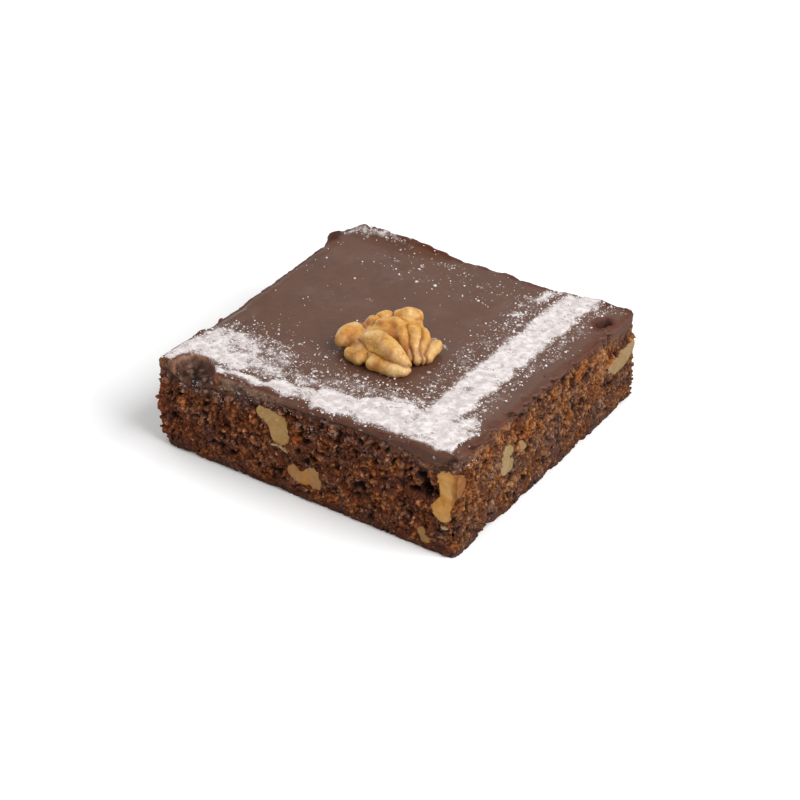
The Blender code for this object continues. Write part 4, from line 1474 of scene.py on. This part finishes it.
# Flecks of sugar on the cut sides: side, from and to along it, from and to in height, how many, radius.
SIDE_SUGAR = (
    (FRONT, -34.0, -32.0, 16.9, 18.4, 5, 0.11),
    (FRONT, -30.0, -27.4, 18.6, 19.9, 7, 0.12),
    (FRONT, -23.6, -21.4, 17.0, 19.0, 10, 0.12),
    (FRONT, -20.0, -10.0, 18.4, 21.0, 8, 0.12),
    (FRONT, -10.0, 10.0, 16.5, 22.0, 22, 0.11),
    (RIGHT, -34.8, -30.0, 20.5, 23.5, 9, 0.15),
)
SUGAR_TRIES = 90000  # places tried for grains on the top


def sifted(x, y):
    """How thick the sugar was sifted, before the edges are left bare."""
    cover = np.full(np.shape(x), 0.012)
    drift = wander(with_z(x, y), 4.0, 0.9, 115)
    for x0, y0, x1, y1, half, soft, strength in SIFTED:
        along = np.array([x1 - x0, y1 - y0])
        share = ((drift[..., 0] - x0) * along[0] + (drift[..., 1] - y0) * along[1]) / (along @ along)
        share = np.clip(share, 0, 1)
        away = np.hypot(drift[..., 0] - x0 - share * along[0], drift[..., 1] - y0 - share * along[1])
        cover = np.maximum(cover, strength * smoothstep(half + soft, half - soft * 0.6, away))
    return cover


def bare_of_sugar(x, y):
    """1 where no sugar stays: along the edges, in the hollow and in the burst bubble."""
    front, right, back, _ = side_distances(x, y)
    ragged = 0.45 * rough(with_z(x, y), 2.6, 114)
    rim = read_off(RIM_WIDTHS, x) * read_off(BARE_FRONT, x)
    near_corner = smoothstep(-24.0, -33.0, y)
    return np.max([
        smoothstep(0.5, -0.5, front - rim + ragged),
        0.9 * smoothstep(0.7, -0.3, back - 0.6 + 1.2 * ragged),
        smoothstep(0.5, -0.5, right - 1.2 - 1.6 * near_corner + ragged),
        smoothstep(1.06, 0.98, front_dent(x, y)),
        smoothstep(1.6, 1.2, bubble_distance(x, y)),
    ], axis=0)


def sugar_cover(x, y):
    """How thick the sugar lies on the icing: 1 where it joins up, down to 0."""
    flat = with_z(x, y)
    cover = sifted(x, y)
    cover = cover * (1 + 0.25 * rough(flat, 5.0, 113)) + 0.30 * np.minimum(cover, 0.8) * rough(flat, 1.6, 116)
    return np.clip(cover * (1 - 0.97 * bare_of_sugar(x, y)), 0, 1.2)


def make_sugar_grains():
    """Grains and small clumps of sugar on the icing, and flecks that fell on the cut sides."""
    rng = np.random.default_rng(7)
    x = rng.uniform(-40, 40, SUGAR_TRIES)
    y = rng.uniform(-37, 38, SUGAR_TRIES)
    cover = sugar_cover(x, y)
    inside = np.min(side_distances(x, y), axis=0)
    chance = np.clip(1.1 * cover**1.25, 0, 0.75) * 0.20 * smoothstep(1.25, 0.85, cover) + 0.0015
    kept = (rng.random(SUGAR_TRIES) < chance) & (inside > 0.5) & (bubble_distance(x, y) > 1.3)
    x, y = x[kept], y[kept]
    radius = 0.07 + 0.10 * rng.random(len(x)) + 0.24 * rng.random(len(x)) ** 6
    spots = [with_z(x, y, top_height(x, y) + 0.35 * radius + 0.16 * smoothstep(0.6, 1.0, cover[kept]))]
    radii = [radius]
    for side, along_low, along_high, low, high, count, size in SIDE_SUGAR:
        for _ in range(count):
            along, height = rng.uniform(along_low, along_high), rng.uniform(low, high)
            spots.append([behind_side(side, along, height, -0.25 - 0.1 * rng.random())])
            radii.append([size * rng.uniform(0.6, 1.2)])
    spots, radii = np.concatenate(spots), np.concatenate(radii)
    points, faces = pebbles(spots, radii, rng, flat=0.75)
    piece = make_piece("sugar_grains", points, faces)
    piece.data.materials.append(sugar_material())


# ---------------------------------------------------------------- stage

FLOOR_HALF = 3.0
FLOOR_GREY = 0.92
WORLD_STRENGTH = 0.42
MIDDLE = (0, 0, 0.015)  # of the brownie, at which the lights point

# The lights: name, place, size and power.
LIGHTS = (
    ("key", (0.62, 0.05, 0.62), 0.7, 10.2),
    ("back", (-0.43, 0.74, 0.55), 0.25, 0.28),
    ("front fill", (-0.3, -0.8, 0.5), 0.8, 1.8),
    ("side fill", (-0.95, 0.25, 0.35), 0.7, 4.0),
)

# The camera's lens and sensor in millimetres, its place and what it points at in metres.
LENS = 126.0
SENSOR = 36.0
CAMERA_FROM = (0.2930, -0.4471, 0.3569)
CAMERA_TO = (0.00173, -0.00151, 0.00664)


def pointed(place, target):
    """The rotation that turns a light or the camera at this place to its target."""
    return (Vector(target) - Vector(place)).to_track_quat("-Z", "Y").to_euler()


def make_floor():
    half = FLOOR_HALF
    corners = [(-half, -half, 0), (half, -half, 0), (half, half, 0), (-half, half, 0)]
    mesh = bpy.data.meshes.new("floor")
    mesh.from_pydata(corners, [], [(0, 1, 2, 3)])
    floor = bpy.data.objects.new("floor", mesh)
    bpy.context.scene.collection.objects.link(floor)
    shader = Shader("pale floor", roughness=0.9, specular=0.1)
    shader.surface.inputs["Base Color"].default_value = (FLOOR_GREY, FLOOR_GREY, FLOOR_GREY, 1)
    mesh.materials.append(shader.material)


def make_world():
    world = bpy.data.worlds.new("studio")
    world.use_nodes = True
    background = world.node_tree.nodes["Background"]
    background.inputs["Color"].default_value = (1, 1, 1, 1)
    background.inputs["Strength"].default_value = WORLD_STRENGTH
    bpy.context.scene.world = world


def make_light(name, place, size, power):
    data = bpy.data.lights.new(name, "AREA")
    data.shape = "SQUARE"
    data.size = size
    data.energy = power
    light = bpy.data.objects.new(name, data)
    bpy.context.scene.collection.objects.link(light)
    light.location = place
    light.rotation_euler = pointed(place, MIDDLE)


def make_camera():
    data = bpy.data.cameras.new("camera")
    data.lens = LENS
    data.sensor_width = SENSOR
    camera = bpy.data.objects.new("camera", data)
    bpy.context.scene.collection.objects.link(camera)
    camera.location = CAMERA_FROM
    camera.rotation_euler = pointed(CAMERA_FROM, CAMERA_TO)
    bpy.context.scene.camera = camera


make_floor()
make_world()
for light in LIGHTS:
    make_light(*light)
make_camera()
bpy.context.scene.view_settings.view_transform = "Standard"
make_cake()
make_nut_pieces()
make_icing()
make_walnut()
make_sugar_grains()
